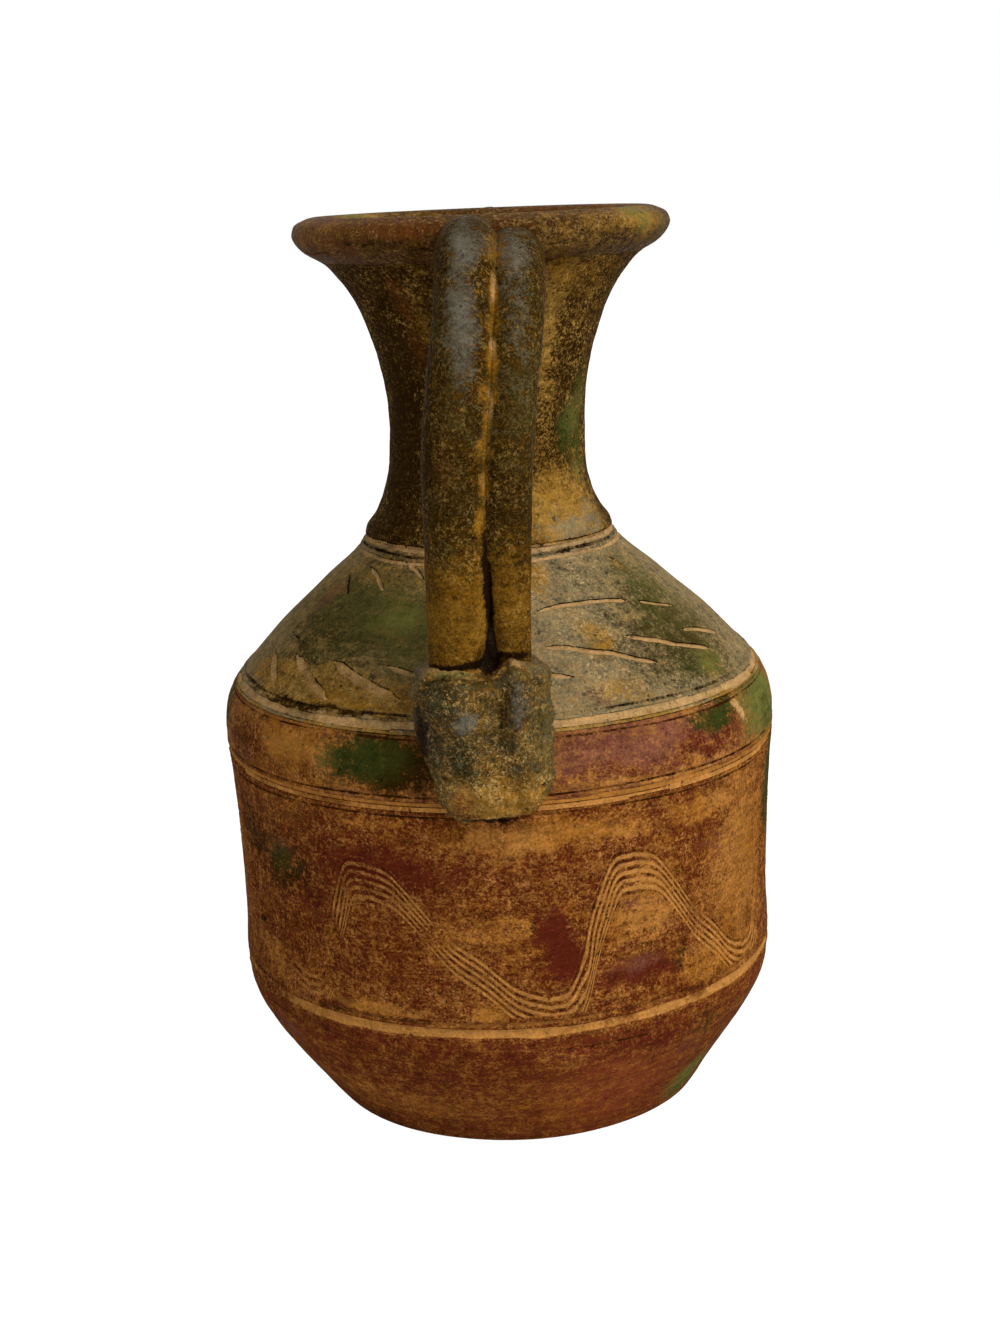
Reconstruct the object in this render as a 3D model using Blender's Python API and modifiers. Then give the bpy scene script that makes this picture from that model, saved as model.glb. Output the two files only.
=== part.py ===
"""Two-handled earthenware vase, built from thrown sections, rolled handle coils and pressed clay pads.

Metres, +Z up. The origin is the centre of the flat underside. The front handle stands on -Y, the rear one on +Y.
"""

import math

import bmesh
import bpy
from mathutils import Matrix, Vector

# Heights of the thrown sections, from the underside up to the rim.
LOWER_HEIGHT = 0.0535
BELLY_HEIGHT = 0.0800
BAND_HEIGHT = 0.0240
SHOULDER_HEIGHT = 0.0490
NECK_HEIGHT = 0.0960
RIM_HEIGHT = 0.0175

# Outer radii. The belly is widest at the ring under the shoulder band, and the insets are taken from there.
BASE_RADIUS = 0.0665
BELLY_RADIUS = 0.0988
BELLY_FOOT_INSET = 0.0020
BAND_TOP_INSET = 0.0050
NECK_FOOT_RADIUS = 0.0433
NECK_WAIST_RADIUS = 0.0346
NECK_TOP_RADIUS = 0.0560
RIM_RADIUS = 0.0657

# Form of the outline between those radii.
BASE_EDGE_ROUND = 0.0030
LOWER_FLARE_OUT = 0.0135
LOWER_FLARE_UP = 0.0180
LOWER_TURN_DROP = 0.0155
BELLY_HOLLOW = 0.0008
BAND_BULGE = 0.0010
BAND_CORNER_RISE = 0.0105
BAND_CORNER_OUT = 0.0050
SHOULDER_SWELL = 0.0010
NECK_WAIST_RISE = 0.0380
NECK_CURVE_BELOW = 0.0180
NECK_CURVE_ABOVE = 0.0240
NECK_FLARE_IN = 0.0120
NECK_FLARE_DROP = 0.0110
RIM_LIP_DROP = 0.0075
RIM_CROWN_IN = 0.0055

# Clay thickness, and the luted joints between pieces.
WALL = 0.0080
FLOOR = 0.0100
LUTE_GAP = 0.0003
TONGUE_DEPTH = 0.0025
TONGUE_WIDTH = 0.0040

# Handles: two rolled coils side by side, left and right as seen from in front of the handle.
LEFT_COIL_RADIUS = 0.0098
RIGHT_COIL_RADIUS = 0.0075
COIL_FOOT_TAPER = 0.80
HANDLE_REACH = 0.1010
HANDLE_ROOT_DROP = 0.0145
HANDLE_ARCH_RISE = 0.0035
HANDLE_ARCH_FALL = 0.0500
HANDLE_GRIP_RISE = 0.0785
HANDLE_GRIP_FALL = 0.0350
HANDLE_FOOT_RISE = 0.0040
SEAM_TOP_RIGHT = 0.0042
SEAM_FOOT_LEFT = 0.0015

# Clay pads pressed over the coils' feet.
PAD_CREASE_LEFT = 0.0035
PAD_BACK_DEPTH = 0.0030
PAD_COVER = 0.0050
PAD_RISE = 0.0220
PAD_DROP = 0.0260
PAD_TONGUE_RADIUS = 0.0150
PAD_RIGHT_LIFT = 0.0030

# How finely the round forms are faceted.
TURN_STEPS = 40
CURVE_STEPS = 5
COIL_STEPS = 18
COIL_BEVEL_RESOLUTION = 3
LOBE_SEGMENTS = 16
LOBE_RINGS = 10

LOWER_RING_Z = LOWER_HEIGHT
BELLY_RING_Z = LOWER_RING_Z + BELLY_HEIGHT
SHOULDER_RING_Z = BELLY_RING_Z + BAND_HEIGHT
NECK_RING_Z = SHOULDER_RING_Z + SHOULDER_HEIGHT
RIM_SEAT_Z = NECK_RING_Z + NECK_HEIGHT
TOP_Z = RIM_SEAT_Z + RIM_HEIGHT
BELLY_FOOT_RADIUS = BELLY_RADIUS - BELLY_FOOT_INSET
BAND_TOP_RADIUS = BELLY_RADIUS - BAND_TOP_INSET

OCHRE_WASH = (0.30, 0.17, 0.05, 1.0)
RED_WASH = (0.17, 0.06, 0.03, 1.0)
DARK_WASH = (0.10, 0.08, 0.05, 1.0)
ROUGH = 0.7
SATIN = 0.5


def clear_scene():
    for obj in list(bpy.data.objects):
        bpy.data.objects.remove(obj)


def collection(name):
    made = bpy.data.collections.new(name)
    bpy.context.scene.collection.children.link(made)
    return made


def paint(obj, colour, roughness):
    """Gives a piece its own painted clay, a Principled BSDF."""
    made = bpy.data.materials.new(obj.name + "_clay")
    made.use_nodes = True
    shader = made.node_tree.nodes["Principled BSDF"]
    shader.inputs["Base Color"].default_value = colour
    shader.inputs["Roughness"].default_value = roughness
    shader.inputs["Metallic"].default_value = 0.0
    obj.data.materials.append(made)


def cubic(start, leave, arrive, end, steps=CURVE_STEPS):
    """Points of a cubic curve in the (radius, height) plane, both ends included."""
    points = []
    for i in range(steps + 1):
        t = i / steps
        weights = ((1 - t) ** 3, 3 * t * (1 - t) ** 2, 3 * t * t * (1 - t), t**3)
        corners = (start, leave, arrive, end)
        points.append(tuple(sum(w * c[k] for w, c in zip(weights, corners)) for k in range(2)))
    return points


def bowed(start, end, bow, steps=CURVE_STEPS):
    """A straight run from start to end that swells outwards by bow at its middle."""
    points = []
    for i in range(steps + 1):
        t = i / steps
        radius = start[0] + (end[0] - start[0]) * t + bow * math.sin(math.pi * t)
        points.append((radius, start[1] + (end[1] - start[1]) * t))
    return points


# Outer outlines of the sections, each from its foot up.


def lower_outline():
    flare = (BASE_RADIUS + LOWER_FLARE_OUT, LOWER_FLARE_UP)
    turn = (BELLY_FOOT_RADIUS, LOWER_RING_Z - LOWER_TURN_DROP)
    edge = (BASE_RADIUS, 0.0)
    wall = cubic(edge, flare, turn, (BELLY_FOOT_RADIUS, LOWER_RING_Z), 2 * CURVE_STEPS)
    rounded = [(BASE_RADIUS - BASE_EDGE_ROUND, 0.0)]
    return rounded + [point for point in wall if point[1] > BASE_EDGE_ROUND / 2]


def belly_outline():
    return bowed((BELLY_FOOT_RADIUS, LOWER_RING_Z), (BELLY_RADIUS, BELLY_RING_Z), -BELLY_HOLLOW)


def band_outline():
    rise = (BELLY_RADIUS + BAND_BULGE, BELLY_RING_Z + BAND_CORNER_RISE)
    corner = (BAND_TOP_RADIUS + BAND_CORNER_OUT, SHOULDER_RING_Z - BAND_CORNER_OUT)
    return cubic((BELLY_RADIUS, BELLY_RING_Z), rise, corner, (BAND_TOP_RADIUS, SHOULDER_RING_Z))


def shoulder_outline():
    foot = (BAND_TOP_RADIUS, SHOULDER_RING_Z)
    return bowed(foot, (NECK_FOOT_RADIUS, NECK_RING_Z), SHOULDER_SWELL)


def neck_outline():
    waist = (NECK_WAIST_RADIUS, NECK_RING_Z + NECK_WAIST_RISE)
    foot = (NECK_FOOT_RADIUS, NECK_RING_Z)
    top = (NECK_TOP_RADIUS, RIM_SEAT_Z)
    leave_foot = ((NECK_FOOT_RADIUS + NECK_WAIST_RADIUS) / 2, NECK_RING_Z + NECK_CURVE_BELOW / 2)
    under_waist = (NECK_WAIST_RADIUS, waist[1] - NECK_CURVE_BELOW)
    over_waist = (NECK_WAIST_RADIUS, waist[1] + NECK_CURVE_ABOVE)
    flare = (NECK_TOP_RADIUS - NECK_FLARE_IN, RIM_SEAT_Z - NECK_FLARE_DROP)
    below = cubic(foot, leave_foot, under_waist, waist)
    return below + cubic(waist, over_waist, flare, top)[1:]


def rim_outline():
    seat = (NECK_TOP_RADIUS, RIM_SEAT_Z)
    lip = (RIM_RADIUS, TOP_Z - RIM_LIP_DROP)
    crown = (RIM_RADIUS - RIM_CROWN_IN, TOP_Z)
    under = cubic(seat, ((seat[0] + lip[0]) / 2, RIM_SEAT_Z), (RIM_RADIUS, RIM_SEAT_Z + RIM_LIP_DROP / 2), lip)
    over = cubic(lip, (RIM_RADIUS, TOP_Z - RIM_LIP_DROP / 2), (crown[0] + RIM_CROWN_IN / 2, TOP_Z), crown)
    return under + over[1:]


def outside():
    """The whole outer outline from the underside to the crown of the rim."""
    runs = (lower_outline(), belly_outline(), band_outline(), shoulder_outline(), neck_outline())
    points = list(runs[0])
    for run in runs[1:]:
        points += run[1:]
    return points + rim_outline()[1:]


def offset(points, distance):
    """The outline moved square to itself, inwards for a positive distance."""
    moved = []
    for i, (radius, height) in enumerate(points):
        before = points[max(i - 1, 0)]
        after = points[min(i + 1, len(points) - 1)]
        along = Vector((after[0] - before[0], after[1] - before[1])).normalized()
        moved.append((radius - along.y * distance, height + along.x * distance))
    return moved


def wall_outline():
    """The outer outline from the floor to the neck's top, which the inner wall follows."""
    return [point for point in outside() if FLOOR / 2 < point[1] <= RIM_SEAT_Z]


def inner_radius(height):
    """Radius of the inside of the wall at a height, WALL away from the outside."""
    inner = sorted(offset(wall_outline(), WALL), key=lambda point: point[1])
    return radius_on(inner, height)


def radius_on(points, height):
    if height <= points[0][1]:
        return points[0][0]
    for low, high in zip(points, points[1:]):
        if low[1] <= height <= high[1]:
            share = (height - low[1]) / (high[1] - low[1]) if high[1] > low[1] else 0.0
            return low[0] + (high[0] - low[0]) * share
    return points[-1][0]


def joint_edge(height, outer):
    """The luted face at a height, from the outside in: flat, with a V tongue in the middle of the wall."""
    inner = inner_radius(height)
    middle = (inner + outer) / 2
    half = min(TONGUE_WIDTH, (outer - inner) / 2) / 2
    tip = (middle, height - TONGUE_DEPTH)
    return [(outer, height), (middle + half, height), tip, (middle - half, height), (inner, height)]


def lowered(points, drop):
    return [(radius, height - drop) for radius, height in points]


def inner_run(low, high):
    """Points up the inside of the wall, between two joint faces."""
    heights = [low + (high - low) * i / CURVE_STEPS for i in range(1, CURVE_STEPS)]
    return [(inner_radius(height), height) for height in heights]


def section_profile(outline):
    """A wall section as a closed loop: down the outside, across its foot joint, up the inside, across its top joint."""
    foot, top = outline[0], outline[-1]
    top_joint = lowered(joint_edge(top[1], top[0]), LUTE_GAP)
    down = [point for point in reversed(outline) if foot[1] < point[1] < top[1] - LUTE_GAP]
    return down + joint_edge(foot[1], foot[0]) + inner_run(foot[1], top[1]) + top_joint[::-1]


def bowl_profile():
    """The lowest section with the floor: an open run from the floor's centre, over the wall, to the underside's centre."""
    outline = lower_outline()
    top = outline[-1]
    top_joint = lowered(joint_edge(top[1], top[0]), LUTE_GAP)
    inside = [(0.0, FLOOR), (inner_radius(FLOOR) - WALL / 2, FLOOR)]
    inside += inner_run(FLOOR + WALL / 4, top[1])
    down = [point for point in reversed(outline) if point[1] < top[1] - LUTE_GAP]
    return inside + top_joint[::-1] + down + [(0.0, 0.0)]


def rim_profile():
    """The rolled lip as a closed loop, from its crown down the outside and up the funnel of the mouth."""
    outline = rim_outline()
    foot, crown = outline[0], outline[-1]
    seat = joint_edge(foot[1], foot[0])
    mouth = cubic(
        seat[-1],
        (seat[-1][0] + WALL / 4, RIM_SEAT_Z + RIM_HEIGHT / 2),
        (crown[0] - WALL / 2, TOP_Z),
        crown,
    )
    return outline[:0:-1] + seat + mouth[1:-1]


def envelope_profile():
    """The outside of the vase with one lute gap around it, closed to the axis: what handles and pads are cut by."""
    grown = offset(outside(), -LUTE_GAP)
    top, foot = grown[-1][1], grown[0][1]
    return [(0.0, top)] + grown[::-1] + [(0.0, foot)]


def turned(name, profile, closed, into):
    """A profile at +X turned round Z by a Screw modifier."""
    mesh = bpy.data.meshes.new(name)
    work = bmesh.new()
    corners = [work.verts.new((radius, 0.0, height)) for radius, height in profile]
    for first, second in zip(corners, corners[1:]):
        work.edges.new((first, second))
    if closed:
        work.edges.new((corners[-1], corners[0]))
    work.to_mesh(mesh)
    work.free()
    obj = bpy.data.objects.new(name, mesh)
    into.objects.link(obj)
    screw = obj.modifiers.new("Turn", "SCREW")
    screw.axis = "Z"
    screw.steps = TURN_STEPS
    screw.render_steps = TURN_STEPS
    screw.use_smooth_shade = True
    screw.use_merge_vertices = True
    screw.merge_threshold = 0.00001
    return obj


def make_cutter(obj):
    obj.hide_render = True
    obj.display_type = "WIRE"
    return obj


def cut(obj, cutter, operation="DIFFERENCE"):
    boolean = obj.modifiers.new(operation.title(), "BOOLEAN")
    boolean.operation = operation
    boolean.solver = "EXACT"
    boolean.object = cutter


def evaluated_copy(obj, name, into):
    """The object as a plain mesh with its caps welded, in place of the object."""
    bpy.context.view_layer.update()
    seen = obj.evaluated_get(bpy.context.evaluated_depsgraph_get())
    mesh = bpy.data.meshes.new_from_object(seen)
    work = bmesh.new()
    work.from_mesh(mesh)
    bmesh.ops.remove_doubles(work, verts=work.verts, dist=0.00001)
    bmesh.ops.recalc_face_normals(work, faces=work.faces)
    work.to_mesh(mesh)
    work.free()
    mesh.name = name
    copy = bpy.data.objects.new(name, mesh)
    copy.matrix_world = obj.matrix_world
    into.objects.link(copy)
    bpy.data.objects.remove(obj)
    copy.name = name
    return copy


# Handles, in their own frame: across to the right, out from the axis, and up.


def handle_path():
    """The coils' line in the (out, up) plane: from the rim's lip, over an arch, down the grip to the shoulder."""
    root = (NECK_TOP_RADIUS - WALL / 2, TOP_Z - HANDLE_ROOT_DROP)
    foot = (BAND_TOP_RADIUS + LEFT_COIL_RADIUS / 2, SHOULDER_RING_Z + HANDLE_FOOT_RISE)
    grip = (HANDLE_REACH, foot[1] + HANDLE_GRIP_RISE)
    crown = (HANDLE_REACH - LEFT_COIL_RADIUS / 2, root[1] + HANDLE_ARCH_RISE)
    arch = cubic(root, crown, (HANDLE_REACH, grip[1] + HANDLE_ARCH_FALL), grip, COIL_STEPS // 2)
    landing = (foot[0], foot[1] + HANDLE_GRIP_FALL)
    return arch + cubic(grip, (HANDLE_REACH, grip[1] - HANDLE_GRIP_FALL), landing, foot, COIL_STEPS // 2)[1:]


def seam_at(height):
    """How far across the seam between the coils stands: it leans to the right towards the rim."""
    top, foot = TOP_Z - HANDLE_ROOT_DROP, SHOULDER_RING_Z + HANDLE_FOOT_RISE
    share = (height - foot) / (top - foot)
    return (SEAM_TOP_RIGHT + SEAM_FOOT_LEFT) * share**3 - SEAM_FOOT_LEFT


def coil(name, side, radius, grow, turn, into):
    """One rolled coil of a handle as a mesh. Side is -1 for the left one, and grow makes it fatter all round."""
    path = handle_path()
    data = bpy.data.curves.new(name, "CURVE")
    data.dimensions = "3D"
    data.bevel_depth = 1.0
    data.bevel_resolution = COIL_BEVEL_RESOLUTION
    data.use_fill_caps = True
    spline = data.splines.new("POLY")
    spline.points.add(len(path) - 1)
    for i, (point, (out, up)) in enumerate(zip(spline.points, path)):
        share = i / (len(path) - 1)
        thick = radius * (1 - (1 - COIL_FOOT_TAPER) * share**4)
        across = seam_at(up) + side * (radius + LUTE_GAP)
        point.co = (across, -out, up, 1.0)
        point.radius = thick + grow
    obj = bpy.data.objects.new(name, data)
    obj.matrix_world = turn
    into.objects.link(obj)
    made = evaluated_copy(obj, name, into)
    made.data.shade_smooth()
    return made


def lobe(name, centre, size, turn, into):
    """An egg of clay: a sphere stretched to size at centre, both as (across, out, up)."""
    mesh = bpy.data.meshes.new(name)
    work = bmesh.new()
    bmesh.ops.create_uvsphere(work, u_segments=LOBE_SEGMENTS, v_segments=LOBE_RINGS, radius=1.0)
    bmesh.ops.scale(work, vec=size, verts=work.verts)
    bmesh.ops.translate(work, vec=(centre[0], -centre[1], centre[2]), verts=work.verts)
    work.to_mesh(mesh)
    work.free()
    mesh.shade_smooth()
    obj = bpy.data.objects.new(name, mesh)
    obj.matrix_world = turn
    into.objects.link(obj)
    return obj


def pad(name, envelope, sockets, turn, parts, cutters):
    """The pad over the coils' feet: a lobe over each coil and a tongue below, hollowed for coils and shoulder."""
    out, up = handle_path()[-1]
    rise = (PAD_RISE + PAD_DROP) / 2
    middle = up + (PAD_RISE - PAD_DROP) / 2

    def over(side, radius, lift):
        size = (radius + PAD_COVER, radius + PAD_COVER, rise)
        return (side * radius - PAD_CREASE_LEFT, out, middle + lift), size

    body = lobe(name, *over(-1, LEFT_COIL_RADIUS, 0.0), turn, parts)
    right = lobe(name + "_right_lobe", *over(1, RIGHT_COIL_RADIUS, PAD_RIGHT_LIFT), turn, cutters)
    tongue_size = (PAD_TONGUE_RADIUS, LEFT_COIL_RADIUS, PAD_TONGUE_RADIUS)
    tongue_centre = (-PAD_CREASE_LEFT, out - PAD_BACK_DEPTH, middle - rise + PAD_TONGUE_RADIUS * 2 / 3)
    tongue = lobe(name + "_tongue", tongue_centre, tongue_size, turn, cutters)
    for joined in (right, tongue):
        cut(body, make_cutter(joined), "UNION")
    for hollow in (*sockets, envelope):
        cut(body, hollow)
    return body


def build_body(parts):
    sections = (
        ("belly_wall", belly_outline(), RED_WASH),
        ("shoulder_band", band_outline(), OCHRE_WASH),
        ("shoulder_cone", shoulder_outline(), DARK_WASH),
        ("neck", neck_outline(), OCHRE_WASH),
    )
    paint(turned("lower_bowl", bowl_profile(), False, parts), RED_WASH, ROUGH)
    for name, outline, wash in sections:
        paint(turned(name, section_profile(outline), True, parts), wash, ROUGH)
    paint(turned("rim_lip", rim_profile(), True, parts), DARK_WASH, SATIN)


def build_handle(place, turn, envelope, parts, cutters):
    sides = (("left", -1, LEFT_COIL_RADIUS), ("right", 1, RIGHT_COIL_RADIUS))
    sockets = []
    for word, side, radius in sides:
        name = f"{place}_handle_{word}_coil"
        rolled = coil(name, side, radius, 0.0, turn, parts)
        paint(rolled, DARK_WASH, SATIN)
        cut(rolled, envelope)
        sockets.append(make_cutter(coil(name + "_socket", side, radius, LUTE_GAP, turn, cutters)))
    paint(pad(f"{place}_handle_pad", envelope, sockets, turn, parts, cutters), DARK_WASH, SATIN)


def main():
    clear_scene()
    parts = collection("two_handled_vase")
    cutters = collection("cutters")
    build_body(parts)
    envelope = make_cutter(turned("envelope", envelope_profile(), False, cutters))
    build_handle("front", Matrix.Identity(4), envelope, parts, cutters)
    build_handle("rear", Matrix.Rotation(math.pi, 4, "Z"), envelope, parts, cutters)


main()
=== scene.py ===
# %% [markdown]
# # A hand-made two-handled vase
#
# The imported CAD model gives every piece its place: thrown wall sections, a rolled lip, and two handles of paired
# coils with a pressed pad at the foot. This scene builds the surface that a potter leaves on them: throwing marks,
# scored rings, a combed wave, scratches, lumpy coils, and washes of colour that are rubbed back to ochre clay.
# The CAD solids could be painted as they are, but they are even where a hand isn't, so each node gets a mesh of its
# own that takes its place.

# %% The frame
import math

import bmesh
import bpy
import numpy as np
from mathutils import Matrix, Vector, noise


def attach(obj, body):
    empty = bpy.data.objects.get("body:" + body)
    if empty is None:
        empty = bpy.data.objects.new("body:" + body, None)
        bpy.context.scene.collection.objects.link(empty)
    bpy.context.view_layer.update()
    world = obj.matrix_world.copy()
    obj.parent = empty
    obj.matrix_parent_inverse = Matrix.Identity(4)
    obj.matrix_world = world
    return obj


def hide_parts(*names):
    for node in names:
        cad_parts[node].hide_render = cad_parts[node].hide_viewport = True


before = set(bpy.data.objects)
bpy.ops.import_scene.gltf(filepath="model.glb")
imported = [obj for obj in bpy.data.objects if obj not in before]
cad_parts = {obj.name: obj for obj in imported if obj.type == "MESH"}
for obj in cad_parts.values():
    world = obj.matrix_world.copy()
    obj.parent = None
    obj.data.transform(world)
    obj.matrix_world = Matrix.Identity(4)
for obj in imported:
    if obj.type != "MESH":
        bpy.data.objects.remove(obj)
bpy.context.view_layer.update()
scene = bpy.context.scene
MM = 0.001

# %% [markdown]
# ## Camera
#
# The photograph looks a little down on the vase from in front of one handle, and the camera is rolled by two
# degrees. It could be placed by eye, but the scored rings show how far it looks down, so its place was fitted
# to them and to the outline. The picture is 1000 by 1333, so the 36 mm sensor lies along its height.

# %% Camera
CAMERA_DISTANCE = 0.7078
CAMERA_HEIGHT = 0.3305
CAMERA_PITCH = math.radians(13.91)
CAMERA_ROLL = math.radians(-2.33)
CAMERA_YAW = math.radians(-0.086)
CAMERA_LENS = 54.0
CAMERA_SENSOR = 36.0

lens = bpy.data.cameras.new("camera")
lens.lens = CAMERA_LENS
lens.sensor_width = CAMERA_SENSOR
lens.clip_start = 0.01
camera = bpy.data.objects.new("camera", lens)
scene.collection.objects.link(camera)
camera.matrix_world = (
    Matrix.Translation((0.0, -CAMERA_DISTANCE, CAMERA_HEIGHT))
    @ Matrix.Rotation(CAMERA_YAW, 4, "Z")
    @ Matrix.Rotation(math.pi / 2 - CAMERA_PITCH, 4, "X")
    @ Matrix.Rotation(CAMERA_ROLL, 4, "Z")
)
scene.camera = camera
print("camera at", tuple(round(value, 3) for value in camera.matrix_world.translation))

# %% [markdown]
# ## Node helpers
#
# Geometry and shader trees can be wired by hand in the editor. Written as code they can be read and changed like a
# sum, so each helper here adds a node or two and returns the socket that the next one reads. A value that is a
# socket is linked, and any other value is set.

# %% Node helpers


def put(tree, kind, inputs=(), **settings):
    """Adds a node, with its settings, its linked inputs and its set inputs."""
    made = tree.nodes.new(kind)
    for key, value in settings.items():
        setattr(made, key, value)
    for key, value in dict(inputs).items():
        if isinstance(value, bpy.types.NodeSocket):
            tree.links.new(value, made.inputs[key])
        else:
            made.inputs[key].default_value = value
    return made


def new_tree(name, kind, inputs, outputs):
    """A node group with its interface. Returns the tree, its input sockets and its output sockets."""
    tree = bpy.data.node_groups.new(name, kind)
    for label, socket, default in inputs:
        made = tree.interface.new_socket(label, in_out="INPUT", socket_type="NodeSocket" + socket)
        if default is not None:
            made.default_value = default
    for label, socket in outputs:
        tree.interface.new_socket(label, in_out="OUTPUT", socket_type="NodeSocket" + socket)
    return tree, put(tree, "NodeGroupInput").outputs, put(tree, "NodeGroupOutput").inputs


def calc(tree, operation, *values):
    """The result of a Math node."""
    return put(tree, "ShaderNodeMath", enumerate(values), operation=operation).outputs[0]


def vector(tree, operation, *values):
    """The vector result of a Vector Math node. A factor for SCALE goes last."""
    inputs = {0: values[0], "Scale": values[1]} if operation == "SCALE" else dict(enumerate(values))
    return put(tree, "ShaderNodeVectorMath", inputs, operation=operation).outputs[0]


def ramp(tree, value, low, high, to_low=0.0, to_high=1.0, smooth=True):
    """Value mapped from low..high to to_low..to_high and held at the ends."""
    inputs = {0: value, 1: low, 2: high, 3: to_low, 4: to_high}
    shape = "SMOOTHSTEP" if smooth else "LINEAR"
    return put(tree, "ShaderNodeMapRange", inputs, interpolation_type=shape).outputs[0]


def grain(tree, place, scale, detail=2.0, roughness=0.5, bend=0.0):
    """A noise value at a place. A bend draws its spots out into short worms."""
    inputs = {"Vector": place, "Scale": scale, "Detail": detail, "Roughness": roughness, "Distortion": bend}
    return put(tree, "ShaderNodeTexNoise", inputs).outputs["Fac"]


print("Blender", bpy.app.version_string)

# %% [markdown]
# ## Paint
#
# The vase was washed with several thin colours, and each was wiped back until it broke up into specks. The same
# paint covers every piece, so each of its effects is a node group that is built once and placed in every material.
#
# "Wall place" gives a point's angle round the pot and its height, pushed about by noise so that patches get ragged
# edges. A UV map could hold the same two values, but it would need a seam, and Object coordinates don't.

# %% Wall place


def split(tree, value):
    """The three axes of a vector."""
    return put(tree, "ShaderNodeSeparateXYZ", {0: value}).outputs


def degrees_round(tree, axes):
    """Angle round the pot in degrees: 0 faces the camera, and it grows to the right."""
    towards = calc(tree, "MULTIPLY", axes[1], -1.0)
    return calc(tree, "DEGREES", calc(tree, "ARCTAN2", axes[0], towards))


wall_place, given, made = new_tree("Wall place", "ShaderNodeTree", (("Ragged", "Float", 1.0),), (("Place", "Vector"),))
PUSH = (9.0, 13.0, 0.0)  # Degrees round and millimetres up.
spot = put(wall_place, "ShaderNodeTexCoord").outputs["Object"]
axes = split(wall_place, spot)
height = calc(wall_place, "MULTIPLY", axes[2], 1 / MM)
place = put(wall_place, "ShaderNodeCombineXYZ", {0: degrees_round(wall_place, axes), 1: height}).outputs[0]
broad = put(wall_place, "ShaderNodeTexNoise", {"Vector": spot, "Scale": 60.0, "Detail": 4.0, "Roughness": 0.65})
push = vector(wall_place, "SUBTRACT", broad.outputs["Color"], (0.5, 0.5, 0.5))
push = vector(wall_place, "SCALE", vector(wall_place, "MULTIPLY", push, PUSH), given["Ragged"])
wall_place.links.new(vector(wall_place, "ADD", place, push), made["Place"])
print(wall_place.name, len(wall_place.nodes), "nodes")

# %% [markdown]
# "Clay grain" is what a close look at the surface shows. Speckle lets a wash cover the clay or not, fleck is light
# dust, blotch is the clay's own two tones, grime darkens and lightens all colours, broken says where scored lines are
# worn, and bump is the roughness under the finger. Noise is used and not a picture, because it stays sharp at any
# distance and has no seam. Each is a mix of noises, from a millimetre to a few centimetres.

# %% Clay grain
GRAINS = ("Speckle", "Fleck", "Blotch", "Grime", "Broken", "Bump")
clay_grain, given, made = new_tree("Clay grain", "ShaderNodeTree", (), [(name, "Float") for name in GRAINS])
spot = put(clay_grain, "ShaderNodeTexCoord").outputs["Object"]
other = vector(clay_grain, "ADD", spot, (0.31, 0.17, 0.23))
flattened = vector(clay_grain, "MULTIPLY", spot, (1.0, 1.0, 1.15))
brushed = vector(clay_grain, "MULTIPLY", spot, (1.0, 1.0, 8.0))


def weighed(tree, *parts):
    """The sum of values, each given with its weight."""
    total = 0.0
    for value, weight in parts:
        total = calc(tree, "MULTIPLY_ADD", value, weight, total)
    return total


def layer(place, scale, low, high, *ends, detail=3.0, roughness=0.6, bend=0.0, smooth=False):
    """One noise of the clay, with low..high stretched to 0..1 or to the ends."""
    value = grain(clay_grain, place, scale, detail, roughness, bend)
    return ramp(clay_grain, value, low, high, *ends, smooth=smooth)


dots = layer(flattened, 1050.0, 0.28, 0.72, detail=2.0, bend=0.7)
clumps = layer(flattened, 330.0, 0.32, 0.68)
middle = layer(other, 150.0, 0.32, 0.68)
patches = layer(spot, 70.0, 0.32, 0.68)
streaks = layer(brushed, 75.0, 0.32, 0.68, roughness=0.65)
speckle = weighed(clay_grain, (dots, 0.42), (clumps, 0.24), (middle, 0.14), (patches, 0.1), (streaks, 0.1))
worms = layer(other, 900.0, 0.48, 0.7, detail=2.0, bend=1.0, smooth=True)
density = layer(other, 95.0, 0.35, 0.65, 0.3, 1.0, smooth=True)
dust = layer(other, 1050.0, 0.3, 0.7, roughness=0.7)
smudge = layer(other, 210.0, 0.3, 0.7, detail=4.0, roughness=0.65)
grime = weighed(clay_grain, (smudge, 0.35), (dust, 0.45), (streaks, 0.2))
grime = ramp(clay_grain, grime, 0.15, 0.85, 0.54, 1.37, smooth=False)
pits = layer(other, 480.0, 0.69, 0.76, detail=1.0, roughness=0.5, smooth=True)
wide, narrow = grain(clay_grain, other, 55.0, 3.0, 0.6), grain(clay_grain, spot, 260.0, 2.0, 0.6)
values = (
    ramp(clay_grain, speckle, 0.2, 0.8, smooth=False),
    calc(clay_grain, "MULTIPLY", worms, density),
    layer(spot, 38.0, 0.32, 0.68, smooth=True),
    calc(clay_grain, "MULTIPLY", grime, ramp(clay_grain, pits, 0.0, 1.0, 1.0, 0.45)),
    ramp(clay_grain, weighed(clay_grain, (wide, 1.0), (narrow, 0.4)), 0.54, 0.86),
    calc(clay_grain, "SUBTRACT", weighed(clay_grain, (clumps, 0.5), (dots, 0.5)), pits),
)
for name, value in zip(GRAINS, values):
    clay_grain.links.new(value, made[name])
print(clay_grain.name, len(clay_grain.nodes), "nodes")

# %% [markdown]
# "Dab" is one place where a wash was put on, and "Wash" lays a colour over the one below wherever its cover beats the
# speckle. Plain mixing would give smooth clouds, which a wiped wash doesn't have. A dab comes twice, half a turn
# apart, so that the side away from the camera is painted as the near side is.

# %% Dabs and washes


def hypotenuse(tree, first, second):
    """The length of a step that goes first along one axis and second along the other."""
    return calc(tree, "SQRT", calc(tree, "MULTIPLY_ADD", first, first, calc(tree, "POWER", second, 2.0)))


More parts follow.
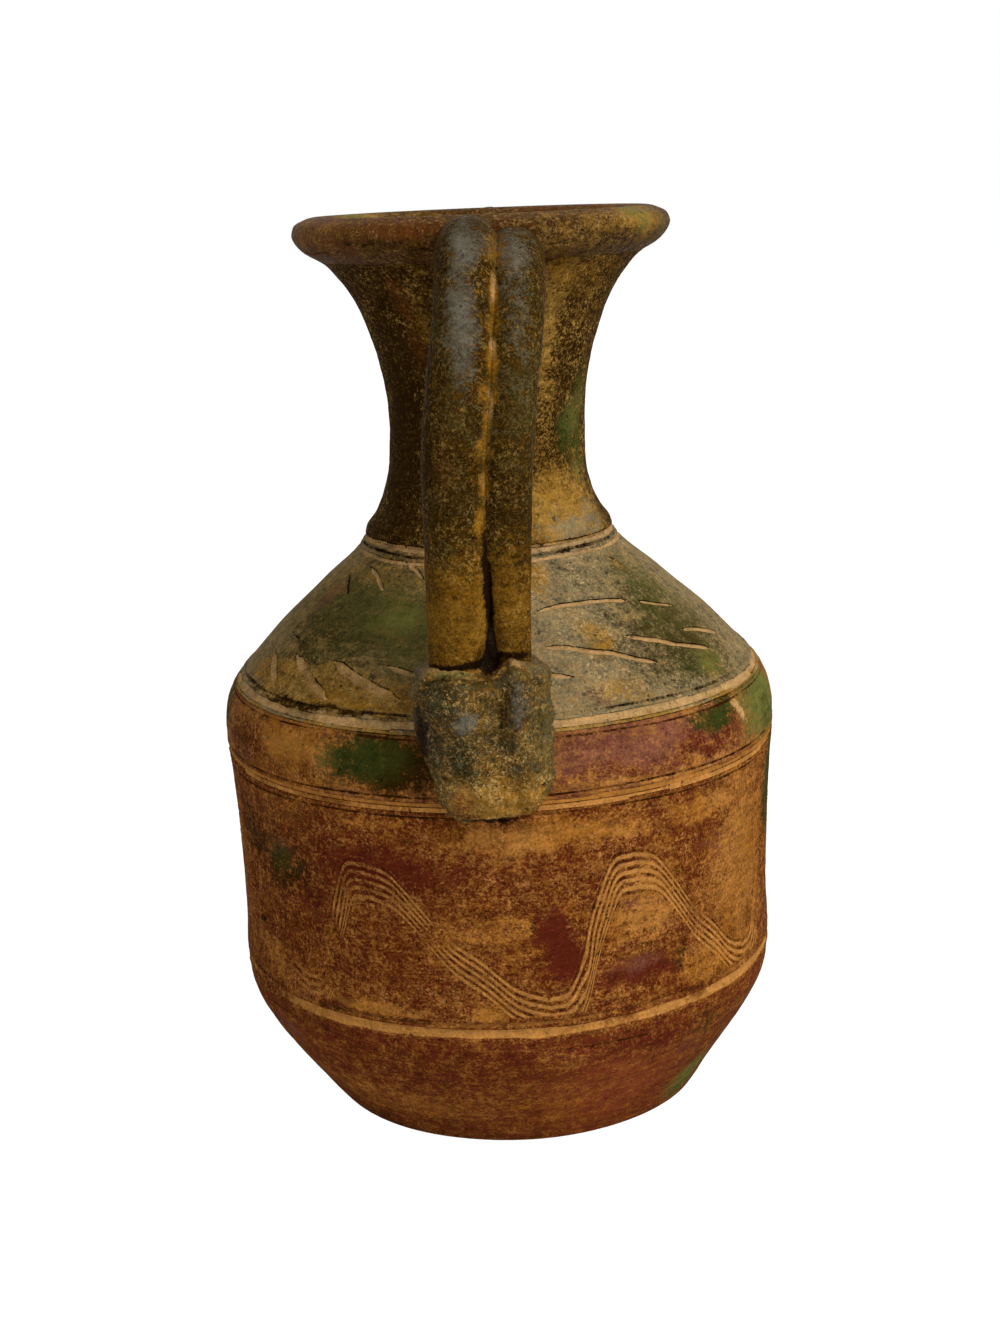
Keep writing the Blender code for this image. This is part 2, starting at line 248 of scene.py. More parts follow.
def mix(tree, share, under, over):
    """Two colours mixed by the share of the second."""
    return put(tree, "ShaderNodeMix", {0: share, 6: under, 7: over}, data_type="RGBA").outputs[2]


DAB_VALUES = (("Angle", 0.0), ("Height", 0.0), ("Half angle", 10.0), ("Half height", 10.0), ("Strength", 1.0))
dab_inputs = [("Place", "Vector", None)] + [(name, "Float", start) for name, start in (*DAB_VALUES, ("Under", 0.0))]
dab_group, given, made = new_tree("Dab", "ShaderNodeTree", dab_inputs, (("Cover", "Float"),))
axes = split(dab_group, given["Place"])
turned = calc(dab_group, "WRAP", calc(dab_group, "SUBTRACT", axes[0], given["Angle"]), 90.0, -90.0)
turned = calc(dab_group, "DIVIDE", turned, given["Half angle"])
raised = calc(dab_group, "DIVIDE", calc(dab_group, "SUBTRACT", axes[1], given["Height"]), given["Half height"])
inside = ramp(dab_group, hypotenuse(dab_group, raised, turned), 0.15, 1.45, 1.0, 0.0)
dab_group.links.new(calc(dab_group, "MULTIPLY_ADD", inside, given["Strength"], given["Under"]), made["Cover"])

wash_group, given, made = new_tree(
    "Wash",
    "ShaderNodeTree",
    (
        ("Under", "Color", None),
        ("Wash", "Color", None),
        ("Cover", "Float", 0.5),
        ("Speckle", "Float", 0.5),
        ("Soft", "Float", 0.4),
    ),
    (("Color", "Color"),),
)
width = calc(wash_group, "MULTIPLY", given["Soft"], 2.0)
reach = calc(wash_group, "ADD", width, 1.0)
lead = calc(wash_group, "MULTIPLY_ADD", given["Cover"], reach, calc(wash_group, "MULTIPLY", given["Speckle"], -1.0))
mask = ramp(wash_group, lead, 0.0, width, smooth=False)
wash_group.links.new(mix(wash_group, mask, given["Under"], given["Wash"]), made["Color"])
print(dab_group.name, len(dab_group.nodes), "nodes,", wash_group.name, len(wash_group.nodes), "nodes")

# %% [markdown]
# A line that is scored in the clay is pale where the tool bared it, or dark, with a thin edge of the other tone
# above. The dark edge above a pale line is painted shadow. A separate strip of mesh could carry those tones, but
# then it would lie on the clay. Here the wall itself carries three values for its nearest line, and "Scored line"
# turns them into two masks. The belly also carries a count of the comb's tines, so the comb's lines stay sharp
# between the points of the mesh.

# %% Lines in the paint
# Distance from a line as a share of its half width, millimetres beyond its upper edge, and whether it is pale.
LINE_VALUES = ("line_share", "line_edge", "line_pale")
BURR_TONE, SHADOW_TONE = 0.35, 1.6


def attribute(tree, name):
    """A value that the mesh carries."""
    return put(tree, "ShaderNodeAttribute", attribute_name=name).outputs["Fac"]


def comb_tones(tree, cover):
    """Masks of the comb's pale ridges and dark cuts, where the cover lets them show."""
    tooth = calc(tree, "COSINE", calc(tree, "MULTIPLY", attribute(tree, "comb"), math.tau))
    reach = calc(tree, "MULTIPLY", attribute(tree, "comb_reach"), cover)
    ridge = calc(tree, "MULTIPLY", ramp(tree, tooth, 0.4, -0.4, 0.0, 0.6), reach)
    return ridge, calc(tree, "MULTIPLY", ramp(tree, tooth, 0.1, 0.85, 0.0, 0.46), reach)


line_group, given, made = new_tree("Scored line", "ShaderNodeTree", (), (("Pale", "Float"), ("Dark", "Float")))
share, edge, is_pale = (attribute(line_group, name) for name in LINE_VALUES)
is_dark = calc(line_group, "SUBTRACT", 1.0, is_pale)
groove = ramp(line_group, share, 0.6, 1.0, 1.0, 0.0)
close_by = ramp(line_group, edge, 0.1, 0.7, 1.0, 0.0)
beside = calc(line_group, "MULTIPLY", ramp(line_group, share, 0.85, 1.05), close_by)
burr = calc(line_group, "MULTIPLY", calc(line_group, "MULTIPLY", beside, BURR_TONE), is_dark)
shadow = calc(line_group, "MULTIPLY", calc(line_group, "MULTIPLY", beside, SHADOW_TONE), is_pale)
line_group.links.new(calc(line_group, "MULTIPLY_ADD", groove, is_pale, burr), made["Pale"])
line_group.links.new(calc(line_group, "MULTIPLY_ADD", groove, is_dark, shadow), made["Dark"])
print(line_group.name, len(line_group.nodes), "nodes")

# %% [markdown]
# ## Palette
#
# Ochre clay, and the washes over it: browns and reds low down, greys and greens on the shoulder, dark brown on neck
# and handles. The colours are given as a screen shows them, because that is how they are compared with the vase.

# %% Palette


def colour(red, green, blue):
    """A colour from screen values of 0 to 255."""
    values = [value / 255 for value in (red, green, blue)]
    linear = [value / 12.92 if value <= 0.04045 else ((value + 0.055) / 1.055) ** 2.4 for value in values]
    return (*linear, 1.0)


OCHRE = colour(168, 112, 50)
GOLD = colour(152, 96, 32)
STRAW = colour(156, 118, 54)
HONEY = colour(136, 94, 26)
AMBER = colour(120, 78, 10)
BROWN = colour(84, 34, 8)
RUST = colour(108, 58, 22)
UMBER = colour(44, 27, 4)
GREY = colour(126, 113, 85)
# Slate grey, mostly a painted sheen on the coils' arch and painted highlights on the pad.
SLATE_AND_SHEEN = colour(100, 94, 80)
OLIVE = colour(84, 76, 38)
MAROON = colour(86, 32, 17)
BRICK = colour(122, 56, 30)
PLUM = colour(120, 73, 57)
GREEN = colour(50, 54, 18)
LEAF = colour(100, 98, 44)
TAN = colour(182, 140, 86)
SAND = colour(164, 108, 48)
# Near black, for dark marks and for painted shadow in gaps and creases and along the edges of scored lines.
SOOT_AND_SHADOW = colour(30, 17, 5)
print("ochre clay", tuple(round(value, 3) for value in OCHRE))

# %% [markdown]
# ## Painted clay
#
# A painted material starts from the clay's own two tones, lays its washes in order, bares the clay in scored lines
# and darkens their edges with painted shadow. Eight materials could be wired one by one, but they differ only in
# colours and dabs, so one function makes them all.

# %% Painted clay


def use(tree, made_group, **inputs):
    """Adds a shader group. Inputs are named in small letters, with underscores for spaces."""
    node = put(tree, "ShaderNodeGroup", node_tree=made_group)
    for socket in node.inputs:
        value = inputs.get(socket.name.replace(" ", "_").lower())
        if isinstance(value, bpy.types.NodeSocket):
            tree.links.new(value, socket)
        elif value is not None:
            socket.default_value = value
    return node.outputs


def painted(
    name, ground, washes, fleck, flecks, bare=TAN, dirt_and_shadow=SOOT_AND_SHADOW, roughness=0.6, gloss=0.004, soft=0.46, faint=(),
    worn=(), ragged=1.0, relief=0.0005, scored_lines=True,
):  # fmt: skip
    """Painted clay. A wash is (colour, cover all over, dabs), and a dab is (angle, height, half sizes, strength).

    Flecks of a light colour lie on the first wash and under the others. Bare is the clay's colour in scored lines,
    and dirt_and_shadow the colour of the dark lines and of the painted shadow along the upper edge of pale lines.
    Faint has the dabs where the lines are weak, and worn has the dabs where a combed wave is rubbed away.
    """
    material = bpy.data.materials.new(name)
    material.use_nodes = True
    tree = material.node_tree
    shader = tree.nodes["Principled BSDF"]
    place = use(tree, wall_place, ragged=ragged)["Place"]
    clay = use(tree, clay_grain)
    speckle = clay["Speckle"]
    shade = mix(tree, clay["Blotch"], *ground)

    def dabbed(cover, dabs):
        for dab in dabs:
            inputs = {label.replace(" ", "_").lower(): value for (label, _), value in zip(DAB_VALUES, dab)}
            cover = use(tree, dab_group, place=place, under=cover, **inputs)["Cover"]
        return cover

    for i, (wash, cover, dabs) in enumerate(washes):
        laid = {"wash": wash, "cover": dabbed(cover, dabs), "speckle": speckle, "soft": soft}
        shade = use(tree, wash_group, under=shade, **laid)["Color"]
        if i == 0:
            shade = mix(tree, calc(tree, "MULTIPLY", clay["Fleck"], flecks), shade, fleck)
    if scored_lines:
        line = use(tree, line_group)
        pale = calc(tree, "MULTIPLY", line["Pale"], dabbed(ramp(tree, clay["Broken"], 0.0, 1.0, 0.6, 1.05), faint))
        # Dark lines, and painted shadow along the upper edge of pale lines.
        dark = calc(tree, "MULTIPLY", line["Dark"], ramp(tree, clay["Broken"], 0.0, 1.0, 0.8, 0.42))
        if worn:
            ridge, cut = comb_tones(tree, dabbed(1.0, worn))
            pale, dark = calc(tree, "MAXIMUM", pale, ridge), calc(tree, "MAXIMUM", dark, cut)
        shade = use(tree, wash_group, under=shade, wash=bare, cover=pale, speckle=speckle)["Color"]
        shade = use(tree, wash_group, under=shade, wash=dirt_and_shadow, cover=dark, speckle=speckle)["Color"]
    tree.links.new(vector(tree, "SCALE", shade, clay["Grime"]), shader.inputs["Base Color"])
    uneven = ramp(tree, speckle, 0.0, 1.0, roughness - 0.1, roughness + 0.15, smooth=False)
    tree.links.new(uneven, shader.inputs["Roughness"])
    shader.inputs["Specular IOR Level"].default_value = gloss
    bump = put(tree, "ShaderNodeBump", {"Strength": 0.7, "Distance": relief, "Height": clay["Bump"]})
    tree.links.new(bump.outputs["Normal"], shader.inputs["Normal"])
    print(name, len(washes), "washes,", sum(len(dabs) for _, _, dabs in washes), "dabs")
    return material


# %% [markdown]
# ## The outline
#
# Radius against height in millimetres, from the foot to the lip's crown: a cone, a nearly straight belly, a rounded
# corner, a conical shoulder, a waisted neck and a thick lip. A Bezier curve could draw it, but a list of stations can
# be set straight from the measured outline, with a smooth curve through them.

# %% The outline
OUTLINE = (
    (0.0, 67.8), (4.7, 71.2), (11.0, 75.3), (25.2, 85.1), (36.0, 91.8), (44.1, 95.5), (52.0, 96.8), (60.0, 97.0),
    (69.3, 96.6), (94.5, 96.8), (126.0, 98.4), (137.0, 99.2), (144.9, 99.0), (151.2, 97.4), (157.5, 93.8),
    (163.8, 87.8), (173.3, 79.0), (189.0, 61.8), (206.5, 44.2), (210.0, 43.3), (213.6, 40.6), (217.4, 38.6),
    (226.8, 35.6), (239.4, 34.6), (252.0, 34.8), (264.6, 36.6), (277.2, 40.2), (288.2, 44.6), (296.1, 49.8),
    (302.5, 56.0), (305.0, 60.4), (307.6, 63.4), (310.4, 65.1), (313.2, 65.1), (315.7, 63.2), (317.2, 59.6),
)  # fmt: skip
WALL = 8.0
SLOPE_LIMIT = 2.0  # The square of the slope past which a slanting wall gets no wider.
FLOOR = 10.0
LOWER_RING, BELLY_RING, SHOULDER_RING, NECK_RING, RIM_SEAT, TOP = 51.6, 133.5, 155.8, 206.5, 302.5, 317.2


def smooth_curve(at, known, values):
    """Values at places on cubics that run smoothly through the known places and values."""
    at, known, values = np.asarray(at, float), np.asarray(known, float), np.asarray(values, float)
    slope = np.gradient(values, known)
    i = np.clip(np.searchsorted(known, at) - 1, 0, len(known) - 2)
    span = known[i + 1] - known[i]
    t = np.clip((at - known[i]) / span, 0, 1)
    start = (1 + 2 * t) * (1 - t) ** 2 * values[i] + t * (1 - t) ** 2 * span * slope[i]
    end = t * t * (3 - 2 * t) * values[i + 1] - t * t * (1 - t) * span * slope[i + 1]
    return start + end


def radius_at(height):
    """Outer radius in millimetres at heights in millimetres."""
    return smooth_curve(height, *np.array(OUTLINE).T)


def inside_at(height):
    """Inner radius of the wall: the wall's thickness, taken square to the slope."""
    height = np.asarray(height, float)
    slope = radius_at(height + 0.5) - radius_at(height - 0.5)
    return radius_at(height) - WALL * np.sqrt(1 + np.minimum(slope**2, SLOPE_LIMIT))


def on_wall(angle, height):
    """Points on the outer wall, in metres. Angle 0 faces the camera and grows to the right, in degrees."""
    angle = np.radians(angle)
    radius = radius_at(height)
    return np.stack([radius * np.sin(angle), -radius * np.cos(angle), height + 0 * angle], -1) * MM


print("widest", round(float(radius_at(np.linspace(0, TOP, 641)).max()), 2), "mm")

# %% [markdown]
# ## Throwing the walls
#
# A wall section is a profile that is turned, as on the wheel. A Screw modifier turns a profile too. This tree makes a
# grid with one column for each step round the axis and one row for each profile point, and puts each grid point on
# its turned place, so that rows can lie close where rings are cut and the trees after it can go on from there.

# %% Throwing the walls


def move(tree, geometry, **how):
    """Moves points by an Offset or to a Position."""
    return put(tree, "GeometryNodeSetPosition", {"Geometry": geometry, **how}).outputs[0]


turned_wall, given, made = new_tree(
    "Turned wall",
    "GeometryNodeTree",
    (("Geometry", "Geometry", None), ("Steps", "Int", 360)),
    (("Geometry", "Geometry"),),
)
SEAM = 0.00002  # Points of the first and last columns that are closer than this, in metres, become one.
rows = put(turned_wall, "GeometryNodeAttributeDomainSize", {0: given["Geometry"]}).outputs["Point Count"]
columns = put(turned_wall, "FunctionNodeIntegerMath", {0: given["Steps"], 1: 1}, operation="ADD").outputs[0]
sheet = put(turned_wall, "GeometryNodeMeshGrid", {"Vertices X": columns, "Vertices Y": rows}).outputs["Mesh"]
index = put(turned_wall, "GeometryNodeInputIndex").outputs[0]
row = put(turned_wall, "FunctionNodeIntegerMath", {0: index, 1: rows}, operation="MODULO").outputs[0]
column = put(turned_wall, "FunctionNodeIntegerMath", {0: index, 1: rows}, operation="DIVIDE_FLOOR").outputs[0]
turn = calc(turned_wall, "DIVIDE", calc(turned_wall, "MULTIPLY", column, math.tau), given["Steps"])
place = put(turned_wall, "GeometryNodeInputPosition").outputs[0]
wanted = {"Geometry": given["Geometry"], "Value": place, "Index": row}
sampled = put(turned_wall, "GeometryNodeSampleIndex", wanted, data_type="FLOAT_VECTOR").outputs[0]
profile = split(turned_wall, sampled)
across = calc(turned_wall, "MULTIPLY", profile[0], calc(turned_wall, "SINE", turn))
towards = calc(turned_wall, "MULTIPLY", profile[0], calc(turned_wall, "COSINE", turn))
back = calc(turned_wall, "MULTIPLY", towards, -1.0)
spot = put(turned_wall, "ShaderNodeCombineXYZ", {0: across, 1: back, 2: profile[2]}).outputs[0]
wall = move(turned_wall, sheet, Position=spot)
wall = put(turned_wall, "GeometryNodeMergeByDistance", {"Geometry": wall, "Distance": SEAM}).outputs[0]
wall = put(turned_wall, "GeometryNodeSetShadeSmooth", {"Geometry": wall}).outputs[0]
turned_wall.links.new(wall, made["Geometry"])
print(turned_wall.name, len(turned_wall.nodes), "nodes")

# %% [markdown]
# ### Profiles
#
# Each section's profile runs up its outside and back down its inside, so the wall has its thickness from the start.
# A Solidify modifier would thicken a single sheet, but it wouldn't leave the joints between the sections flat.

# %% Profiles
CREASE = 0.08  # An extra row this far from a joint, in millimetres, keeps its edge crisp.
INSIDE_STEP = 10.0  # Rows can lie further apart where nothing is cut.
UNDERSIDE = [(0.0, 0.0), (30.0, 0.0), (60.0, 0.0), (64.2, 0.0), (66.4, 0.4)]
# Where the inside wall ends above the floor, then how the corner of the floor is rounded: up, in and height.
HOLLOW_FOOT, CORNER_UP, CORNER_IN, CORNER_RISE = 5.0, 2.0, 4.0, 1.2
FLOOR_RADII = (50.0, 25.0, 0.0)
MOUTH = [(58.0, 317.5), (55.4, 316.8), (52.6, 315.0), (50.8, 312.2), (49.4, 309.0), (47.8, 305.6), (45.9, RIM_SEAT)]


def heights(*spans):
    """Heights from spans of (from, to, step), without a repeat where they meet."""
    rows = [np.linspace(low, high, max(round((high - low) / step), 1) + 1) for low, high, step in spans]
    rows = np.concatenate([part[:-1] for part in rows[:-1]] + [rows[-1]])
    return np.concatenate([rows[:1], rows[:1] + CREASE, rows[1:-1], rows[-1:] - CREASE, rows[-1:]])


def outside(up):
    """Points up the outer wall."""
    return list(zip(radius_at(up), up))


def crease(height):
    """The first point of a joint's flat face."""
    return [(radius_at(height) - CREASE, height)]


def section_points(*spans):
    """A wall section's loop: up the outside, over the top joint, down the inside and back to the start."""
    up = heights(*spans)
    down = np.linspace(up[-1], up[0], max(int((up[-1] - up[0]) / INSIDE_STEP), 4) + 1)
    loop = outside(up) + crease(up[-1]) + list(zip(inside_at(down), down)) + crease(up[0])
    return loop + loop[:1]


def bowl_points(*spans):
    """The lowest section, from the centre of the underside round the wall to the centre of the floor."""
    up = heights(*spans)
    down = np.linspace(up[-1], FLOOR + HOLLOW_FOOT, 16)
    corner = [(inside_at(FLOOR + CORNER_UP) - CORNER_IN, FLOOR + CORNER_RISE)]
    floor = [(radius, FLOOR) for radius in FLOOR_RADII]
    return UNDERSIDE + outside(up) + crease(up[-1]) + list(zip(inside_at(down), down)) + corner + floor


def rim_points(*spans):
    """The lip: up its rolled outside, over the crown and down the funnel of the mouth."""
    up = heights(*spans)
    loop = outside(up) + MOUTH + crease(up[0])
    return loop + loop[:1]


print("wall", round(float(radius_at(100.0) - inside_at(100.0)), 2), "mm thick at the belly")

# %% [markdown]
# ## Scored lines
#
# Rings and scratches were cut in the soft clay with a pointed tool. Booleans could cut them, but they leave hard, even
# edges. Here each is drawn as a line on the wall, and its points carry half its width, its depth, and whether it is a
# broad pale cut with a dark edge of painted shadow or a thin dark one with a pale edge. The first half of the tree
# gives the wall its hand-thrown unevenness: slow wobble, rings from the fingers, and grit.

# %% Thrown unevenness


def outwards_at(tree, place):
    """The direction straight away from the pot's axis."""
    return vector(tree, "NORMALIZE", vector(tree, "MULTIPLY", place, (1.0, 1.0, 0.0)))


def swing(tree, place, scale, detail=2.0, roughness=0.5):
    """A noise value that swings about zero."""
    return calc(tree, "SUBTRACT", grain(tree, place, scale, detail, roughness), 0.5)


scored, given, made = new_tree(
    "Thrown and scored",
    "GeometryNodeTree",
    (
        ("Geometry", "Geometry", None),
        ("Lines", "Object", None),
        ("Paint", "Material", None),
        ("Wobble", "Float", 0.0006),
        ("Throwing", "Float", 0.0002),
        ("Grit", "Float", 0.0001),
    ),
    (("Geometry", "Geometry"),),
)
here = put(scored, "GeometryNodeInputPosition").outputs[0]
outwards = outwards_at(scored, here)
slow = swing(scored, here, 14.0, 1.0)
turns = swing(scored, vector(scored, "MULTIPLY", here, (9.0, 9.0, 190.0)), 1.0)
fine = swing(scored, here, 330.0, 3.0, 0.6)
uneven = weighed(scored, (slow, given["Wobble"]), (turns, given["Throwing"]), (fine, given["Grit"]))
uneven = vector(scored, "SCALE", outwards, calc(scored, "MULTIPLY", uneven, 2.0))
thrown = move(scored, given["Geometry"], Offset=uneven)
print(scored.name, "starts with", len(scored.nodes), "nodes")

# %% [markdown]
# The second half of the tree lays the lines on the uneven wall, and then sinks the wall where it lies close to a line
# and raises a small burr beside it, as a tool pushes clay aside. It leaves each point's distance from its line for
# the paint.

# %% Scored lines
BURR_HEIGHT = 0.3  # As a share of the line's depth.


def store(tree, geometry, name, value):
    """Keeps a value on every point, for the paint."""
    stored = {"Geometry": geometry, "Name": name, "Value": value}
    return put(tree, "GeometryNodeStoreNamedAttribute", stored, data_type="FLOAT").outputs[0]


def end_piece(tree, geometry, given, made):
    """Ends the last tree of a piece: real geometry with its paint."""
    real = put(tree, "GeometryNodeRealizeInstances", {"Geometry": geometry}).outputs[0]
    covered = put(tree, "GeometryNodeSetMaterial", {"Geometry": real, "Material": given["Paint"]}).outputs[0]
    tree.links.new(covered, made["Geometry"])


drawn = put(scored, "GeometryNodeObjectInfo", {"Object": given["Lines"]}).outputs["Geometry"]
seat = put(scored, "GeometryNodeProximity", {0: thrown}, target_element="FACES").outputs["Position"]
laid = move(scored, drawn, Position=seat)
close = put(scored, "GeometryNodeProximity", {0: laid}, target_element="EDGES").outputs
nearest = put(scored, "GeometryNodeSampleNearest", {"Geometry": laid}).outputs["Index"]


def line_value(name):
    """A line's own value, read at the line point nearest to the wall point."""
    value = put(scored, "GeometryNodeInputNamedAttribute", {"Name": name}).outputs["Attribute"]
    inputs = {"Geometry": laid, "Value": value, "Index": nearest}
    return put(scored, "GeometryNodeSampleIndex", inputs).outputs[0]


waver = ramp(scored, grain(scored, here, 120.0), 0.3, 0.7, 0.75, 1.25, smooth=False)
half_width = line_value("half_width")
share = calc(scored, "DIVIDE", close["Distance"], calc(scored, "MULTIPLY", half_width, waver))
groove = ramp(scored, share, 0.5, 1.0, 1.0, 0.0)
beyond = calc(scored, "MULTIPLY", calc(scored, "SUBTRACT", close["Distance"], half_width), 1 / MM)
burr = calc(scored, "MULTIPLY", ramp(scored, share, 0.8, 1.05), ramp(scored, beyond, 0.2, 0.9, 1.0, 0.0))
sink = calc(scored, "SUBTRACT", calc(scored, "MULTIPLY", burr, BURR_HEIGHT), groove)
sink = calc(scored, "MULTIPLY", sink, line_value("depth"))
away = vector(scored, "NORMALIZE", vector(scored, "SUBTRACT", here, close["Position"]))
upper = calc(scored, "ADD", beyond, ramp(scored, split(scored, away)[2], -0.2, 0.5, 1.0, 0.0))
wall = thrown
for label, value in zip(LINE_VALUES, (share, upper, line_value("is_pale"))):
    wall = store(scored, wall, label, value)
end_piece(scored, move(scored, wall, Offset=vector(scored, "SCALE", outwards, sink)), given, made)
print(scored.name, len(scored.nodes), "nodes")

# %% [markdown]
# ### Drawing the strokes
#
# A stroke is given by a few places, as angle and height. It becomes a row of points a millimetre apart, because the
# tree reads a line's values at its nearest point. A scratch fades at both ends, as the tool is set down and lifted.

# %% Drawing the strokes
ROUND = np.linspace(-180.0, 180.0, 721)
DEGREE = 1.5  # Millimetres round the wall in one degree, roughly.
SPACING = 1.0  # Millimetres between the points of a line.
TAIL, TAIL_SHARE = 3.5, 0.3  # How long a stroke's end is, and the share of its width and depth that stays there.


def point_mesh(name, points, edges=(), faces=()):
    """A mesh of points in metres."""
    mesh = bpy.data.meshes.new(name)
    mesh.from_pydata(np.asarray(points).tolist(), edges, faces)
    return mesh


def chain(count, first=0):
    """The edges that join points in a row."""
    return [(first + i, first + i + 1) for i in range(count - 1)]


def carry(mesh, name, values):
    """Keeps a value on every point of a mesh."""
    mesh.attributes.new(name, "FLOAT", "POINT").data.foreach_set("value", values)


def add_object(name, data):
    """Puts a mesh or a lamp in the scene."""
    obj = bpy.data.objects.new(name, data)
    scene.collection.objects.link(obj)
    return obj


def line_object(name, strokes):
    """Strokes as edges on the wall: (points as angle and height, half width, depth in millimetres, pale or not)."""
    places, edges, values = [], [], []
    for points, half_width, depth, is_pale in strokes:
        points = np.array(points, float)
        steps = np.hypot(np.diff(points[:, 0]) * DEGREE, np.diff(points[:, 1]))
        along = np.concatenate([[0.0], np.cumsum(steps)])
        at = np.linspace(0.0, along[-1], max(int(along[-1] / SPACING), 2) + 1)
        angle, height = np.interp(at, along, points[:, 0]), np.interp(at, along, points[:, 1])
        edges += chain(len(at), len(places))
        places += on_wall(angle, height).tolist()
        is_ring = len(points) == len(ROUND)
        fade = np.clip(np.minimum(at, along[-1] - at) / TAIL, 1.0 if is_ring else TAIL_SHARE, 1.0)
        values += [(half_width * t * MM, depth * t * MM, float(is_pale)) for t in fade]
    mesh = point_mesh(name, places, edges)
    for label, column in zip(("half_width", "depth", "is_pale"), np.array(values).T):
        carry(mesh, label, column)
    print(name, len(strokes), "strokes")
    return add_object(name, mesh)


# %% [markdown]
# ### Rings
#
# The rings were cut with a tool held against the turning pot by hand, so they waver. Grooves in the turned profile
# would run perfectly level, so each ring is a stroke round the pot with two small waves in it.

# %% Rings
# Height, half width and depth in millimetres, and 1 for a pale cut or 0 for a dark one.
# The thin dark lines just above and below the broad pale rings are painted shade along their edges, and are cut a
# little too.
RINGS = {
    "foot": ((47.5, 0.5, 0.3, 0),),
    "lower": ((54.6, 2.2, 0.7, 1), (57.7, 0.8, 0.4, 0.4)),
    "belly": ((133.2, 2.7, 0.35, 1), (136.6, 0.5, 0.5, 0), (129.8, 0.5, 0.4, 0)),
    "shoulder": ((157.8, 2.3, 0.9, 1), (160.7, 0.7, 0.6, 0.2), (154.6, 0.5, 0.4, 0)),
    "neck": ((206.0, 1.1, 0.6, 0.7), (204.2, 0.7, 1.0, 0), (202.4, 0.8, 0.4, 0.7)),
}
WAVERS = ((2, 0.35), (7, 0.2))  # How many waves go round a ring, and their height in millimetres.


def rings(*names):
    """Rings round the pot that waver by a few tenths of a millimetre."""
    strokes = []
    for name in names:
        for i, (height, *cut) in enumerate(RINGS[name]):
            turn = np.radians(ROUND)
            waves = [size * np.sin(n * turn + k * len(name) + i) for k, (n, size) in enumerate(WAVERS, 1)]
            strokes.append((np.stack([ROUND, height + sum(waves)], 1), *cut))
    return strokes


foot_lines = line_object("foot_lines", rings("foot"))
belly_lines = line_object("belly_lines", rings("lower", "belly"))
band_lines = line_object("band_lines", rings("belly", "shoulder"))
neck_lines = line_object("neck_lines", rings("neck"))

# %% [markdown]
# ### Scratches and cracks
#
# The scratches on the shoulder mostly slope down to the right: broad gouges on the left, long thin dashes on the
# right. The lip is cracked where its coil was folded over. Random strokes would be quicker to write, but these are the
# vase's own marks, so each is put in its place. The side that the photograph doesn't show repeats them, half a turn on.

# %% Scratches and cracks
# Places as angle and height, then half width, depth and tone as for the rings.
SCRATCHES = (
    (((13, 178.6), (19, 177.9), (24, 176.2), (30, 174.8), (36, 171.6), (41, 169.6)), 1.0, 0.9, 1),
    (((36, 178.6), (41, 176.8), (46, 175.0), (50, 173.0), (56, 170.8), (62, 168.2)), 1.0, 1.0, 1),
    (((9, 172.2), (13, 171.0), (18, 169.8)), 0.9, 0.7, 1),
    (((14, 188.4), (22, 189.2), (32, 189.0), (39, 188.4), (46, 187.2)), 0.9, 0.6, 1),
    (((22, 204.6), (25, 204.0), (29, 204.4)), 1.0, 1.1, 0),
    (((31, 204.2), (34, 203.6), (38, 204.4)), 1.2, 1.2, 0),
    (((26, 200.2), (30, 198.8), (34, 196.4)), 0.9, 0.9, 0),
    (((55, 200.2), (58, 198.2), (61, 195.0)), 0.9, 0.9, 0),
    (((57, 175.8), (64, 174.0), (72, 170.6)), 0.9, 0.7, 1),
    (((50, 186.4), (57, 184.0), (64, 182.0)), 0.7, 0.5, 1),
    (((-71, 170.4), (-66, 167.4), (-59, 162.6)), 2.0, 0.8, 0.92),
    (((-58, 172.4), (-49, 167.6), (-40, 163.2)), 2.1, 0.8, 0.92),
    (((-43, 173.4), (-33, 169.2), (-22, 165.2)), 2.1, 0.8, 0.92),
    (((-27, 174.0), (-18, 171.6)), 1.1, 0.6, 1),
    (((-56, 199.2), (-48, 197.2), (-40, 193.4)), 0.8, 0.7, 1),
    (((-67, 196.2), (-61, 193.6), (-55, 190.6)), 0.7, 0.6, 0),
    (((-37, 202.0), (-31, 200.2), (-26, 197.6)), 0.7, 0.6, 1),
    (((-72, 177.4), (-62, 176.4), (-54, 176.0)), 0.5, 0.5, 0),
)  # fmt: skip
LIP_CRACKS = (
    (((-74, 306.8), (-66, 306.0), (-58, 307.2), (-52, 306.2), (-46, 307.6)), 0.7, 0.9, 0.35),
    (((-44, 308.6), (-40, 310.2), (-36, 309.0), (-31, 310.4), (-27, 308.8), (-22, 309.6)), 0.7, 1.0, 0.35),
    (((-24, 306.8), (-18, 307.6), (-12, 306.6)), 0.9, 1.0, 0.35),
    (((18, 306.8), (24, 307.8), (30, 306.6), (37, 307.4)), 0.6, 0.7, 0.35),
    (((40, 309.6), (47, 310.6), (55, 309.4)), 0.5, 0.5, 0.35),
)  # fmt: skip


def with_half_turn(strokes):
    """The strokes, and the same again half a turn on."""
    turned = [(tuple((angle + 180, height) for angle, height in points), *cut) for points, *cut in strokes]
    return list(strokes) + turned


shoulder_lines = line_object("shoulder_lines", rings("shoulder", "neck") + with_half_turn(SCRATCHES))
lip_lines = line_object("lip_lines", with_half_turn(LIP_CRACKS))

